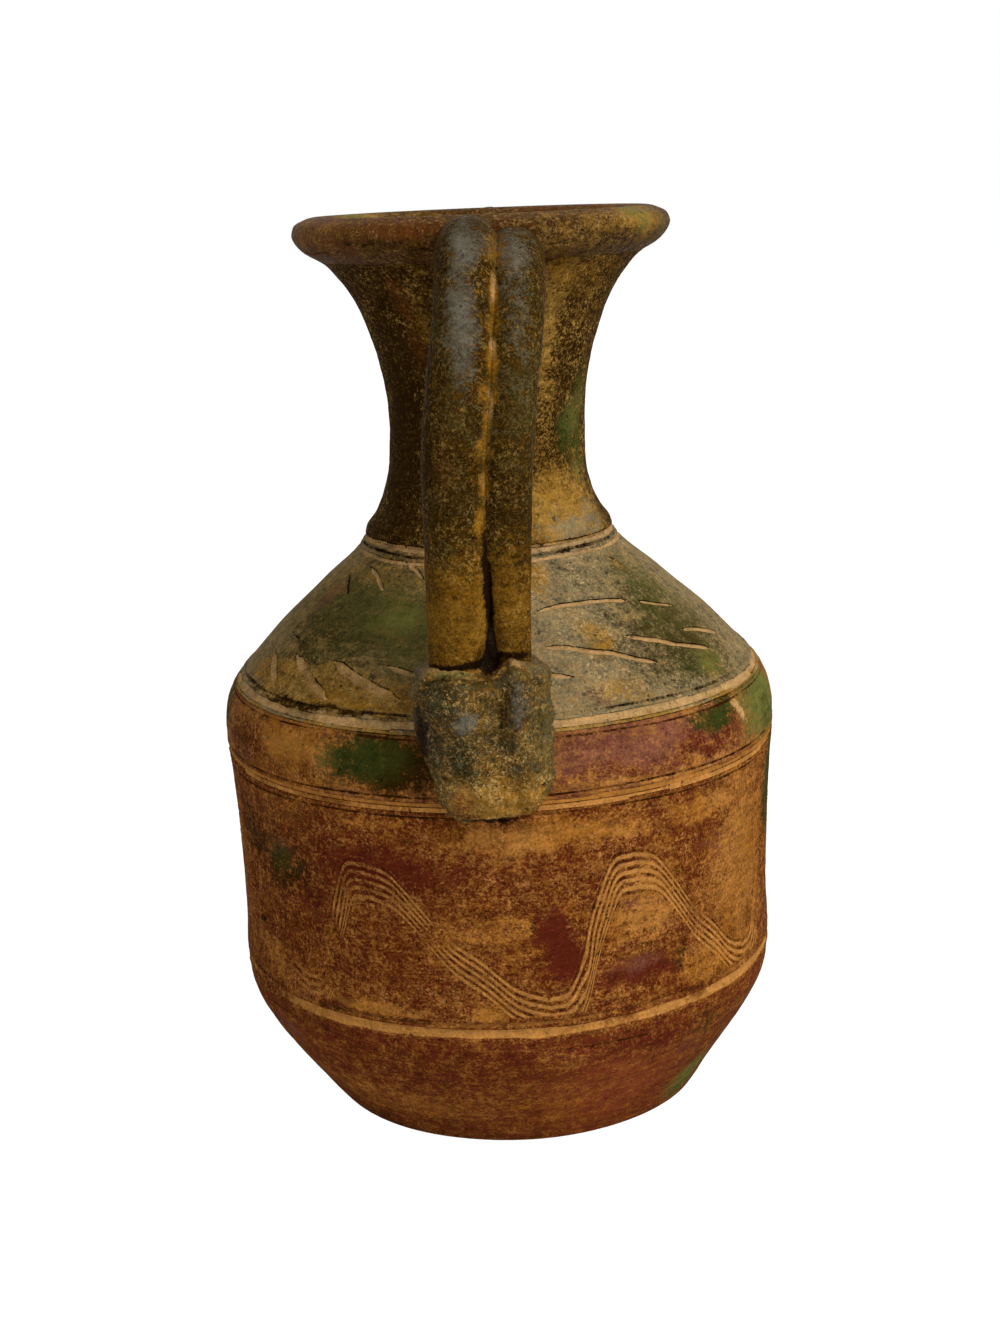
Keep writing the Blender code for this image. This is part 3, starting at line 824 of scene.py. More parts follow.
# %% [markdown]
# ## The combed wave
#
# A comb with six tines was drawn round the belly in one wave that rises steeply and falls slowly. Six lines could be
# scored like the rings, but they lie so close that the mesh would need rows as fine as a tine. So only the first
# tine's line is drawn, point by point round the pot. The tree reads that line at each wall point's own angle, and
# counts how many tines below it the point lies. That count sinks the wall at each tine, and the paint reads it too.

# %% The first tine
CRESTS = (-80.0, -29.5, 25.3, 76.0, 127.0, 178.0, 229.0)
TROUGHS = (-96.0, -45.5, 7.5, 58.0, 109.0, 160.0, 211.0)
CREST_HEIGHTS = (112.0, 113.0, 113.4, 112.0, 114.0, 111.5, 113.0)
TROUGH_HEIGHTS = (67.0, 67.5, 66.8, 65.5, 68.0, 66.0, 69.0)
# How far along the rise and how high, as shares: slow out of the trough, steep, then round over the crest.
RISE = ((0.0, 0.0), (0.26, 0.08), (0.38, 0.29), (0.46, 0.50), (0.57, 0.715), (0.71, 0.93), (1.0, 1.0))
FALL = ((0.0, 1.0), (0.16, 0.93), (0.31, 0.72), (0.45, 0.50), (0.66, 0.28), (0.81, 0.10), (1.0, 0.0))
STEPS_PER_DEGREE = 20


def wave_at(angle):
    """Height of the comb's first tine."""
    marks = sorted(zip(CRESTS + TROUGHS, CREST_HEIGHTS + TROUGH_HEIGHTS))
    marks = marks + [(marks[0][0] + 360.0, marks[0][1])]
    angles, levels = np.array(marks).T
    angle = (np.asarray(angle) - angles[0]) % 360.0 + angles[0]
    i = np.clip(np.searchsorted(angles, angle, side="right") - 1, 0, len(angles) - 2)
    t = (angle - angles[i]) / (angles[i + 1] - angles[i])
    low, high = np.minimum(levels[i], levels[i + 1]), np.maximum(levels[i], levels[i + 1])
    rising = smooth_curve(t, *np.array(RISE).T)
    falling = smooth_curve(t, *np.array(FALL).T)
    return low + (high - low) * np.where(levels[i + 1] > levels[i], rising, falling)


every = np.linspace(-180.0, 180.0, 360 * STEPS_PER_DEGREE + 1)
wave = wave_at(every)
first_tine = add_object("first_tine", point_mesh("first_tine", on_wall(every, wave), chain(len(every))))
print("wave from", round(float(wave.min()), 1), "to", round(float(wave.max()), 1), "mm")

# %% [markdown]
# The comb was pulled sideways as it rose, so each tine trails the one above it by a small angle, the drag. The count
# is therefore read twice: once for a first guess, and again at the angle that the guess gives.

# %% The combed wave
combed_wave, given, made = new_tree(
    "Combed wave",
    "GeometryNodeTree",
    (
        ("Geometry", "Geometry", None),
        ("First tine", "Object", None),
        ("Tines", "Int", 6),
        ("Pitch", "Float", 0.0029),
        ("Drag", "Float", 0.3),
        ("Depth", "Float", 0.00045),
        ("Lowest", "Float", 0.0585),
    ),
    (("Geometry", "Geometry"),),
)
FADE_UP = 0.002  # Over this height above the lowest place the cut grows to its full depth, in metres.
OUTER_WALL = 0.0945  # Points nearer to the axis are on the inside, which isn't combed.
here = put(combed_wave, "GeometryNodeInputPosition").outputs[0]
axes = split(combed_wave, here)
around = degrees_round(combed_wave, axes)
tine_line = put(combed_wave, "GeometryNodeObjectInfo", {"Object": given["First tine"]}).outputs["Geometry"]


def tines_below(angle):
    """How many tines a point lies below the first tine's line at an angle."""
    angle = calc(combed_wave, "ADD", calc(combed_wave, "WRAP", angle, 180.0, -180.0), 180.0)
    at = calc(combed_wave, "ROUND", calc(combed_wave, "MULTIPLY", angle, STEPS_PER_DEGREE))
    inputs = {"Geometry": tine_line, "Value": here, "Index": at}
    line = put(combed_wave, "GeometryNodeSampleIndex", inputs, data_type="FLOAT_VECTOR").outputs[0]
    below = calc(combed_wave, "SUBTRACT", split(combed_wave, line)[2], axes[2])
    return calc(combed_wave, "DIVIDE", below, given["Pitch"])


guess = put(combed_wave, "ShaderNodeClamp", {0: tines_below(around), 1: -1.0, 2: given["Tines"]}).outputs[0]
dragged = calc(combed_wave, "SUBTRACT", around, calc(combed_wave, "MULTIPLY", guess, given["Drag"]))
count = calc(combed_wave, "MULTIPLY_ADD", swing(combed_wave, here, 60.0), 0.5, tines_below(dragged))
end, last = (calc(combed_wave, "SUBTRACT", given["Tines"], part) for part in (0.85, 0.55))
top = calc(combed_wave, "ADD", given["Lowest"], FADE_UP)
reach = ramp(combed_wave, count, -0.5, -0.2)
for limit in (
    ramp(combed_wave, count, end, last, 1.0, 0.0),
    ramp(combed_wave, axes[2], given["Lowest"], top),
    calc(combed_wave, "GREATER_THAN", hypotenuse(combed_wave, axes[0], axes[1]), OUTER_WALL),
):
    reach = calc(combed_wave, "MULTIPLY", reach, limit)
tooth = calc(combed_wave, "COSINE", calc(combed_wave, "MULTIPLY", count, math.tau))
sink = calc(combed_wave, "MULTIPLY", calc(combed_wave, "MULTIPLY_ADD", tooth, -0.5, -0.25), given["Depth"])
sink = vector(combed_wave, "SCALE", outwards_at(combed_wave, here), calc(combed_wave, "MULTIPLY", sink, reach))
wall = move(combed_wave, given["Geometry"], Offset=sink)
for label, value in (("comb", count), ("comb_reach", reach)):
    wall = store(combed_wave, wall, label, value)
combed_wave.links.new(wall, made["Geometry"])
print(combed_wave.name, len(combed_wave.nodes), "nodes")

# %% [markdown]
# ## Where the colours are
#
# Each thrown piece has its ground, the washes all over it, and its dabs. Noise alone would scatter the patches, and
# the vase would be known by none of them, so each patch that can be told apart is a dab in its place. Angle 0 faces
# the camera and grows to the right, heights are in millimetres, and a dab with a negative strength is a place where
# the wash was rubbed off.
#
# The foot is the warmest part: red and brown over ochre, with green patches low at the right.

# %% Foot paint
foot_paint = painted(
    "foot_paint",
    (OCHRE, GOLD),
    (
        (BROWN, 0.66, (
            (4, 22, 22, 12, -0.14), (-34, 20, 20, 8, -0.16), (-5, 48, 3, 4, -0.2), (10, 43, 6, 5, -0.15),
            (25, 20, 17, 19, -0.06),
        )),
        (BRICK, 0.32, ((25, 22, 20, 22, 0.3), (14, 46, 10, 5, 0.2))),
        (MAROON, 0.34, (
            (-10, 47, 40, 5, 0.2), (30, 43, 12, 6, 0.3), (-30, 34, 20, 8, 0.14), (-30, 18, 26, 10, -0.15),
            (20, 22, 20, 20, -0.15),
        )),
        (PLUM, 0.12, ((-55, 40, 8, 9, 0.3), (42, 36, 8, 9, 0.2))),
        (UMBER, 0.0, ((42, 43, 9, 7, 0.4),)),
        (GREEN, 0.0, ((46, 41, 7, 7, 0.42),)),
        (LEAF, 0.0, ((53, 13, 10, 12, 0.7),)),
        (GREEN, 0.0, ((52, 8, 7, 8, 0.4),)),
    ),
    fleck=colour(156, 96, 48), flecks=0.9, soft=0.38, bare=SAND, dirt_and_shadow=UMBER,
)  # fmt: skip

# %% [markdown]
# The belly is mostly brown and maroon. It is rubbed to straw under its upper ring and round the crests, and dark green
# gathers at its left and right edges. A dark dab under the pad's tongue is painted shadow. The wave is worn away in
# places, and there the comb's tones are taken back.

# %% Belly paint
belly_paint = painted(
    "belly_paint",
    (OCHRE, GOLD),
    (
        (BROWN, 0.64, (
            (6, 123, 17, 5, -0.3), (22, 123, 10, 6, -0.18), (42, 123, 9, 5, -0.34), (-36, 128, 22, 3, -0.12),
            (57, 95, 13, 44, -0.24), (-3, 90, 10, 5, -0.24), (-4, 61, 4, 3, -0.4), (-30, 61, 12, 2.6, -0.4),
            (28, 89, 9, 9, -0.3), (28, 101, 8, 6, -0.2), (42, 67, 8, 6, -0.28), (-56, 68, 9, 8, -0.2),
            (-26, 109, 18, 8, 0.2),
        )),
        (MAROON, 0.34, (
            (-24, 111, 20, 8, 0.34), (8, 89, 4, 7, 0.55), (11, 79, 4, 8, 0.65), (26, 70, 11, 5, 0.55),
            (49, 112, 6, 7, 0.25), (28, 124, 5, 4, 0.3), (-46, 96, 10, 12, 0.2), (-26, 80, 14, 10, 0.05),
            (57, 95, 13, 44, -0.22), (8, 123, 26, 6, -0.28), (29, 88, 9, 8, -0.15),
        )),
        (UMBER, 0.0, (
            (-50, 103, 12, 12, 0.6), (-66, 100, 6, 30, 0.3), (-62, 114, 10, 12, 0.36), (37, 73, 4, 4, 0.35),
        )),
        (STRAW, 0.0, (
            (10, 124, 24, 4, 0.24), (-50, 123, 14, 7, 0.26), (57, 104, 12, 26, 0.2), (-30, 61, 14, 3, 0.3),
        )),
        (PLUM, 0.0, ((25, 72, 10, 5, 0.5), (27, 94, 7, 5, 0.35), (48, 108, 8, 8, 0.3), (-52, 110, 6, 5, 0.4))),
        (GREEN, 0.0, (
            (-50, 105, 8, 7, 0.48), (36, 71, 4, 5, 0.4), (76, 116, 8, 26, 0.8), (-58, 110, 9, 8, 0.24),
            (2, 92, 2.4, 3, 0.4),
        )),
        # The last dark dab is painted shadow under the pad's tongue.
        (SOOT_AND_SHADOW, 0.0, ((-62, 77, 3, 3, 0.7), (4, 92, 1.2, 1.6, 0.7), (-2.5, 129.6, 5, 1.6, 1.1))),
    ),
    fleck=colour(176, 120, 64), flecks=0.95, soft=0.38, bare=colour(180, 124, 62), dirt_and_shadow=colour(52, 26, 6),
    faint=((-60, 54, 16, 6, -0.6), (34, 55, 24, 5, -0.3), (-40, 134, 30, 5, -0.25)),
    worn=(
        (-60, 86, 14, 60, -1.2), (74, 90, 8, 60, -1.2), (-39, 78, 4, 16, -1.2), (-14, 90, 4, 5, -0.9),
        (-32, 106, 12, 14, -0.32), (42, 85, 5, 9, -0.35),
    ),
)  # fmt: skip

# %% [markdown]
# The band between the two upper rings has plum and maroon at the right, a dark green patch at the left that is
# deepened by painted shadow beside the pad, and straw where it bends over to the shoulder.

# %% Band paint
band_paint = painted(
    "band_paint",
    (OCHRE, GOLD),
    (
        (BROWN, 0.52, (
            (-45, 150, 9, 6, -0.34), (35, 138, 26, 3, -0.25), (10, 140, 8, 6, -0.15), (-62, 142, 12, 8, 0.2),
        )),
        (PLUM, 0.36, ((26, 149, 22, 8, 0.28), (-50, 146, 18, 12, -0.36))),
        (MAROON, 0.24, (
            (47, 145, 12, 6, 0.35), (28, 142, 18, 4, 0.3), (20, 151, 14, 4, 0.1), (-50, 146, 20, 12, -0.3),
        )),
        (STRAW, 0.0, ((-46, 149, 9, 6, 0.36), (-62, 151, 8, 3, 0.3))),
        (UMBER, 0.0, (
            # The first umber dab, beside the pad's left edge, deepens the dark green patch with painted shadow of the
            # pad.
            (-18, 146, 9, 12, 0.84), (-27, 141, 8, 4, 0.34), (-66, 146, 9, 10, 0.4), (49, 152, 10, 4.5, 0.7),
        )),
        (GREEN, 0.0, (
            (-31, 146, 9, 12, 0.56), (-22, 148, 10, 9, 0.6), (-58, 153, 14, 2.4, 0.35), (49, 152, 12, 5, 0.8),
            (-80, 150, 8, 8, 0.6),
        )),
        (LEAF, 0.0, ((-36, 147, 5, 10, 0.4), (70, 148, 15, 16, 1.0))),
        (GREEN, 0.0, ((72, 143, 7, 12, 0.45),)),
        (TAN, 0.0, ((57, 149, 1.6, 4.5, 0.7),)),
    ),
    fleck=colour(176, 128, 74), flecks=0.95, bare=SAND, dirt_and_shadow=colour(52, 26, 6), ragged=1.5,
)  # fmt: skip

# %% [markdown]
# The shoulder is grey and dry in front. At both sides it turns olive, with green and dark patches round the gouges.
# A soft dark band just above the ring on the left is painted shadow. A dab that is wider than a turn bares the clay
# all round its lower edge, where the ring was cut.

# %% Shoulder paint
shoulder_paint = painted(
    "shoulder_paint",
    (STRAW, HONEY),
    (
        (GREY, 0.66, (
            (27, 179, 5, 4, -0.4), (27, 165, 8, 4, -0.2), (17, 198, 5, 6, -0.5), (-44, 166, 34, 7, -0.6),
            (-44, 190, 40, 20, -0.3), (58, 166, 5, 4, -0.3), (58, 197, 2.5, 4, -0.5), (0, 155.4, 400, 1.5, -1.0),
        )),
        (OLIVE, 0.3, (
            (-48, 186, 34, 16, 0.5), (60, 182, 16, 26, 0.34), (-18, 186, 10, 16, 0.3), (46, 178, 14, 16, 0.2),
            (-40, 166, 30, 6, -0.2), (18, 198, 5, 6, -0.3),
        )),
        (UMBER, 0.24, (
            # The dab at -44, 160.7 is a painted shadow band just above the ring.
            (-56, 179, 14, 8, 0.2), (-40, 203, 26, 4, 0.2), (-45, 167, 32, 7, 0.2), (-44, 160.7, 34, 1.2, 0.44),
            (42, 168, 9, 7, 0.12), (58, 174, 11, 13, 0.26), (40, 178, 10, 12, 0.2), (-40, 192, 20, 8, -0.12),
            (18, 198, 5, 6, -0.24),
        )),
        (GREEN, 0.0, (
            (-48, 186, 14, 8, 0.22), (58, 186, 10, 9, 0.34), (-16, 190, 8, 12, 0.4), (47, 183, 12, 12, 0.26),
            (50, 167, 10, 6, 0.55),
        )),
        (LEAF, 0.0, (
            (-30, 187, 12, 8, 0.7), (58, 166, 7, 5, 0.5), (60, 184, 14, 18, 0.3), (-22, 175, 8, 6, 0.4),
            (-42, 196, 10, 4, 0.35),
        )),
        (HONEY, 0.0, ((-30, 163.4, 20, 2.6, 0.5), (-44, 169, 8, 5, 0.25))),
        (PLUM, 0.0, ((-66, 190, 7, 7, 0.5), (22, 164, 9, 4, 0.35), (44, 189, 6, 4, 0.3), (54, 203, 8, 3, 0.3))),
    ),
    fleck=colour(180, 152, 104), flecks=1.0, bare=colour(178, 140, 90),
    faint=((-45, 158, 36, 6, -0.2), (-45, 169, 34, 5, -0.3)),
)  # fmt: skip

# %% [markdown]
# The neck is very dark brown, with fine light flecks. A green patch lies at its right, and grey at its foot. The lip is
# the same with more rust, and a little more shine where hands held it.

# %% Neck and lip paint
neck_paint = painted(
    "neck_paint",
    (STRAW, HONEY),
    (
        (UMBER, 0.68, (
            (-60, 255, 45, 60, 0.32), (31, 276, 7, 24, -0.26), (-27, 274, 6, 22, -0.24), (36, 298, 16, 6, -0.16),
            (54, 266, 11, 11, 0.3), (46, 242, 10, 10, 0.12), (40, 216, 26, 13, -0.42), (74, 296, 10, 14, 0.1),
        )),
        (GREEN, 0.0, (
            (60, 248, 17, 15, 0.56), (46, 242, 10, 10, 0.42), (64, 232, 12, 9, 0.4), (66, 262, 10, 8, 0.4),
        )),
        (LEAF, 0.0, ((58, 248, 14, 12, 0.4), (64, 228, 14, 9, 0.42), (70, 256, 10, 10, 0.3))),
        (GREY, 0.0, ((46, 212, 34, 7, 0.6),)),
        (RUST, 0.14, ((-36, 281, 8, 22, 0.3),)),
        (UMBER, 0.0, ((-54, 246, 26, 56, 0.66),)),
    ),
    fleck=colour(178, 138, 72), flecks=0.78, soft=0.4, ragged=1.6,
)  # fmt: skip
lip_paint = painted(
    "lip_paint",
    (STRAW, HONEY),
    (
        (UMBER, 0.72, (
            (25, 306, 18, 5, -0.16), (34, 315, 20, 5, -0.13), (56, 314, 14, 7, -0.36), (-60, 313, 20, 6, -0.12),
        )),
        (RUST, 0.32, ((-60, 312, 28, 9, 0.14), (-25, 313, 14, 5, 0.18), (44, 312, 24, 10, -0.3))),
        (LEAF, 0.0, ((55, 315, 10, 7, 0.55), (70, 310, 8, 8, 0.4))),
        (GREEN, 0.0, ((62, 308, 10, 4, 0.4),)),
    ),
    fleck=colour(170, 132, 84), flecks=0.65, roughness=0.5, gloss=0.02, relief=0.0009,
)  # fmt: skip

# %% [markdown]
# ## From tree to plain mesh
#
# A tree is put on an object as a modifier. Its inputs are set by their identifiers and not by their names, before the
# object is first evaluated. The result is then kept as a plain mesh, because the export takes no live tree. Trees that
# follow each other could be one, but in parts they can be read, and only the belly needs the comb.

# %% From tree to plain mesh


def run_tree(obj, tree, **values):
    """Adds a geometry tree to an object, with inputs set by name (spaces written as underscores)."""
    modifier = obj.modifiers.new(tree.name, "NODES")
    modifier.node_group = tree
    for item in tree.interface.items_tree:
        key = item.name.replace(" ", "_").lower()
        if item.in_out == "INPUT" and key in values:
            modifier[item.identifier] = values[key]


def plain_mesh(obj):
    """Turns an object's evaluated result into its own mesh, with the modifiers gone."""
    bpy.context.view_layer.update()
    result = obj.evaluated_get(bpy.context.evaluated_depsgraph_get())
    mesh = bpy.data.meshes.new_from_object(result)
    obj.modifiers.clear()
    obj.data = mesh
    mesh.shade_smooth()
    print(obj.name, len(mesh.vertices), "points")


for tree in (turned_wall, combed_wave, scored):
    print(tree.name, [item.name for item in tree.interface.items_tree if item.in_out == "INPUT"])

# %% [markdown]
# ## The six thrown pieces
#
# Each takes the place of its CAD node. A pot leans a little as it is thrown, so each height has its own small shift to
# the side. A Simple Deform modifier bends only one way, and this lean changes its side, so the points are moved.

# %% The six thrown pieces
# Height and shift to the right, in millimetres.
LEAN = (
    (0.0, 1.6), (12.0, 0.5), (26.0, -0.1), (45.0, 0.0), (150.0, 0.0), (190.0, -0.9), (215.0, -0.9), (245.0, 0.0),
    (290.0, 0.4), (320.0, 0.7),
)  # fmt: skip


def points_of(mesh):
    """A mesh's points as rows of x, y and z, in millimetres."""
    flat = np.empty(len(mesh.vertices) * 3)
    mesh.vertices.foreach_get("co", flat)
    return flat.reshape(-1, 3) / MM


def move_points(mesh, points):
    """Puts a mesh's points at rows of x, y and z, in millimetres."""
    mesh.vertices.foreach_set("co", (points * MM).ravel())
    mesh.update()


def thrown_piece(name, profile, lines, paint, steps, combed=False, **unevenness):
    """One wall section: turned from its profile of radius and height, combed or not, scored, and leaned."""
    obj = add_object(name, point_mesh(name, [(radius * MM, 0.0, height * MM) for radius, height in profile]))
    run_tree(obj, turned_wall, steps=steps)
    if combed:
        run_tree(obj, combed_wave, first_tine=first_tine)
    run_tree(obj, scored, lines=lines, paint=paint, **unevenness)
    plain_mesh(obj)
    points = points_of(obj.data)
    points[:, 0] += smooth_curve(points[:, 2], *np.array(LEAN).T)
    move_points(obj.data, points)
    return obj


foot_rows = bowl_points((1.6, 48.0, 1.1), (48.0, LOWER_RING, 0.6))
foot = thrown_piece("foot_and_floor", foot_rows, foot_lines, foot_paint, steps=480)
belly_spans = (LOWER_RING, 59.0, 0.55), (59.0, 116.0, 1.3), (116.0, 127.5, 2.3), (127.5, BELLY_RING, 0.6)
belly_rows = section_points(*belly_spans)
belly = thrown_piece("combed_belly", belly_rows, belly_lines, belly_paint, steps=1100, combed=True)
band_rows = section_points((BELLY_RING, SHOULDER_RING, 0.55))
band = thrown_piece("shoulder_strip", band_rows, band_lines, band_paint, steps=640)
shoulder_rows = section_points((SHOULDER_RING, NECK_RING, 0.42))
shoulder = thrown_piece("scratched_shoulder", shoulder_rows, shoulder_lines, shoulder_paint, steps=740)
neck_rows = section_points((NECK_RING, 212.0, 0.45), (212.0, RIM_SEAT, 1.0))
neck = thrown_piece("waisted_neck", neck_rows, neck_lines, neck_paint, steps=360, throwing=0.0003)
lip_rows = rim_points((RIM_SEAT, TOP, 0.5))
lip = thrown_piece("rolled_lip", lip_rows, lip_lines, lip_paint, steps=480, wobble=0.001, grit=0.0003)
for helper in (foot_lines, belly_lines, band_lines, shoulder_lines, neck_lines, lip_lines, first_tine):
    bpy.data.objects.remove(helper)

# %% [markdown]
# ## Handles
#
# Two hand-rolled coils follow one path out of the lip, over an arch and down to the shoulder. A bevelled curve would
# give an even tube. This tree sweeps a round along the path with the thickness that the path's points carry, and
# noise gives it the lumps and flats of rolling.

# %% Rolled coil
rolled_coil, given, made = new_tree(
    "Rolled coil",
    "GeometryNodeTree",
    (
        ("Geometry", "Geometry", None),
        ("Paint", "Material", None),
        ("Sides", "Int", 64),
        ("Lumps", "Float", 0.0007),
        ("Grit", "Float", 0.0003),
    ),
    (("Geometry", "Geometry"),),
)
path = put(rolled_coil, "GeometryNodeMeshToCurve", {0: given["Geometry"]}).outputs[0]
section = {"Resolution": given["Sides"], "Radius": 1.0}
section = put(rolled_coil, "GeometryNodeCurvePrimitiveCircle", section).outputs[0]
thick = put(rolled_coil, "GeometryNodeInputNamedAttribute", {"Name": "thickness"}).outputs["Attribute"]
sweep = {"Curve": path, "Profile Curve": section, "Scale": thick, "Fill Caps": True}
swept = put(rolled_coil, "GeometryNodeCurveToMesh", sweep).outputs[0]
here = put(rolled_coil, "GeometryNodeInputPosition").outputs[0]
lump, fine = swing(rolled_coil, here, 45.0), swing(rolled_coil, here, 330.0, 3.0, 0.6)
swell = weighed(rolled_coil, (lump, given["Lumps"]), (fine, given["Grit"]))
normal = put(rolled_coil, "GeometryNodeInputNormal").outputs[0]
swell = vector(rolled_coil, "SCALE", normal, calc(rolled_coil, "MULTIPLY", swell, 2.0))
end_piece(rolled_coil, move(rolled_coil, swept, Offset=swell), given, made)
print(rolled_coil.name, len(rolled_coil.nodes), "nodes")

# %% [markdown]
# ### The coils' path
#
# Both coils share one path, seen from the side. Each has its own place across the handle and its own thickness at a
# few heights, because both lean to the left on their way down and get thinner towards the pad. Two separate curves
# could be drawn, but then the coils might drift apart.

# %% The coils' path
# Out from the axis and up, in millimetres: the root in the lip, then the arch and the grip, each a cubic.
ROOT = (48.0, 304.9)
ARCH = ((59.0, 305.8), (96.1, 309.0), (101.0, 290.0), (101.0, 240.0))
GRIP = ((101.0, 240.0), (101.0, 205.0), (98.7, 196.5), (98.0, 156.0))
# Height, then place across and radius of the thick coil, then of the thin one, in millimetres.
COILS = (
    (156.0, -13.0, 8.2, 5.6, 5.2),
    (166.0, -13.4, 7.9, 5.8, 4.9),
    (178.0, -13.2, 8.1, 5.7, 5.1),
    (190.0, -11.9, 9.3, 5.2, 5.9),
    (200.0, -10.9, 10.2, 4.6, 6.9),
    (213.0, -10.2, 10.8, 4.1, 8.0),
    (247.0, -9.7, 10.9, 4.8, 8.9),
    (268.0, -7.3, 10.9, 7.2, 8.9),
    (290.0, -4.9, 10.4, 9.6, 9.1),
    (310.0, -3.6, 10.0, 11.0, 9.3),
)
FIRST_COLUMN = {"thick": 1, "thin": 3}
# How far each coil is lifted at the arch, from a height on and over a span, in millimetres.
COIL_LIFT = {"thick": 1.2, "thin": -2.0}
LIFT_FROM, LIFT_SPAN = 260.0, 40.0
PATH_POINTS, ROOT_POINTS = 110, 8


def cubic(corners):
    """Points on a cubic curve, without its first one."""
    t = np.linspace(0.0, 1.0, PATH_POINTS)[1:, None]
    a, b, c, d = (np.array(corner) for corner in corners)
    return a * (1 - t) ** 3 + 3 * b * t * (1 - t) ** 2 + 3 * c * t * t * (1 - t) + d * t**3


COIL_PATH = np.concatenate([np.linspace(ROOT, ARCH[0], ROOT_POINTS), cubic(ARCH), cubic(GRIP)])
print("coil path", round(float(np.hypot(*np.diff(COIL_PATH, axis=0).T).sum()), 1), "mm long")

# %% [markdown]
# ### Rolling and luting a coil
#
# A coil's upper end was luted onto neck and lip, which means pressed on with wet clay. A coil that is cut off square
# would leave a gap there, and one that is pushed through would show in the mouth. So the points near its root are drawn
# to just under the wall's surface.

# %% Rolling and luting a coil
# How deep a coil's end sits in the wall, how far out it is drawn to it, and the highest it follows the lip.
ROOT_DEPTH, ROOT_REACH, ROOT_TOP = 3.5, 66.0, 316.0


def lute(mesh, front):
    """Presses a coil's end onto neck and lip: the points near its root are drawn to just under their surface."""
    points = points_of(mesh)
    across, out, up = points[:, 0], -front * points[:, 1], points[:, 2]
    under = radius_at(np.minimum(up, ROOT_TOP)) - ROOT_DEPTH
    start = np.sqrt(under**2 - across**2)
    share = np.clip((out - ROOT[0]) / (ROOT_REACH - ROOT[0]), 0.0, 1.0)
    points[:, 1] = -front * np.where(out < ROOT_REACH, start + share * (ROOT_REACH - start), out)
    move_points(mesh, points)


def coil(name, kind, front, paint):
    """A thick or thin coil of the front handle (1) or of the rear one (-1)."""
    table = np.array(COILS).T
    first = FIRST_COLUMN[kind]
    across, thickness = (smooth_curve(COIL_PATH[:, 1], table[0], column) for column in table[first : first + 2])
    up = COIL_PATH[:, 1] + COIL_LIFT[kind] * np.clip((COIL_PATH[:, 1] - LIFT_FROM) / LIFT_SPAN, 0.0, 1.0)
    places = np.stack([front * across, -front * COIL_PATH[:, 0], up], 1) * MM
    mesh = point_mesh(name, places, chain(len(COIL_PATH)))
    carry(mesh, "thickness", thickness * MM)
    obj = add_object(name, mesh)
    run_tree(obj, rolled_coil, paint=paint)
    plain_mesh(obj)
    lute(obj.data, front)
    return obj


# %% [markdown]
# ## Pads
#
# The pad is one lump of clay pressed over the coils' feet with finger and thumb: a broad swelling over the left coil,
# a ridge over the right one, a flange smeared out at the right, and a tongue below. It could be sculpted, but a
# sculpture can't be written as a few numbers. So its outline is drawn as the camera sees it, the lump is a pillow on
# that outline, and swellings and dents are added to its front.

# %% The pad's form
# Outline of the pad, across and up in millimetres, clockwise from its top left corner.
PAD_EDGE = (
    (-23.5, 180.0), (-15.0, 182.2), (-7.0, 180.6), (-1.0, 180.4), (4.5, 184.2), (10.0, 183.0), (14.6, 179.5),
    (16.8, 172.0), (17.2, 160.0), (17.2, 149.0), (16.4, 142.0), (14.2, 136.2), (10.4, 132.2), (3.0, 130.4),
    (-5.0, 130.0), (-13.0, 130.4), (-18.2, 132.4), (-21.0, 137.5), (-23.4, 145.0), (-26.0, 153.0), (-27.4, 161.0),
    (-27.2, 169.0), (-26.2, 176.0),
)  # fmt: skip
PAD_MIDDLE = (-5.0, 158.0)
PAD_SEAT = 95.0
PAD_BODY = 12.0
# Place across and up, half sizes, and height of each swelling on the front.
SWELLINGS = (
    (-13.0, 167.0, 8.0, 10.0, 5.0), (-10.0, 150.0, 7.0, 8.0, 2.0), (6.2, 168.0, 3.8, 12.0, 4.5),
    (6.0, 143.0, 5.0, 6.0, 2.0), (0.8, 164.0, 2.4, 14.0, -2.5), (-5.0, 139.0, 8.0, 6.0, 2.5),
    (-26.0, 158.0, 5.0, 22.0, -5.5), (16.0, 158.0, 3.2, 24.0, -4.5), (12.0, 160.0, 1.6, 16.0, -2.5),
)  # fmt: skip
PAD_SPOKES, FRONT_HOOPS, BACK_HOOPS = 180, 44, 22
# Powers that crowd the hoops towards the edge, and that round the edge in front and behind.
FRONT_CROWD, BACK_CROWD, FRONT_ROUND, BACK_ROUND = 0.6, 0.75, 22, 4
# The curled upper edge: its height, its place and half width as shares of the reach, and the heights where it grows.
CURL, CURL_PLACE, CURL_WIDTH, CURL_FROM, CURL_SPAN = 3.0, 0.93, 0.06, 170.0, 6.0
# How deep the back is at its foot, how much deeper above, and the heights where that grows.
BACK, BACK_MORE, BACK_FROM, BACK_SPAN = 3.0, 5.0, 158.0, 14.0


def hills(across, up):
    """Height of the pad's front above its seat, before its edge is rounded."""
    height = PAD_BODY + 0 * across
    for at_x, at_z, half_x, half_z, rise in SWELLINGS:
        height = height + rise * np.exp(-(((across - at_x) / half_x) ** 2) - ((up - at_z) / half_z) ** 2)
    return height


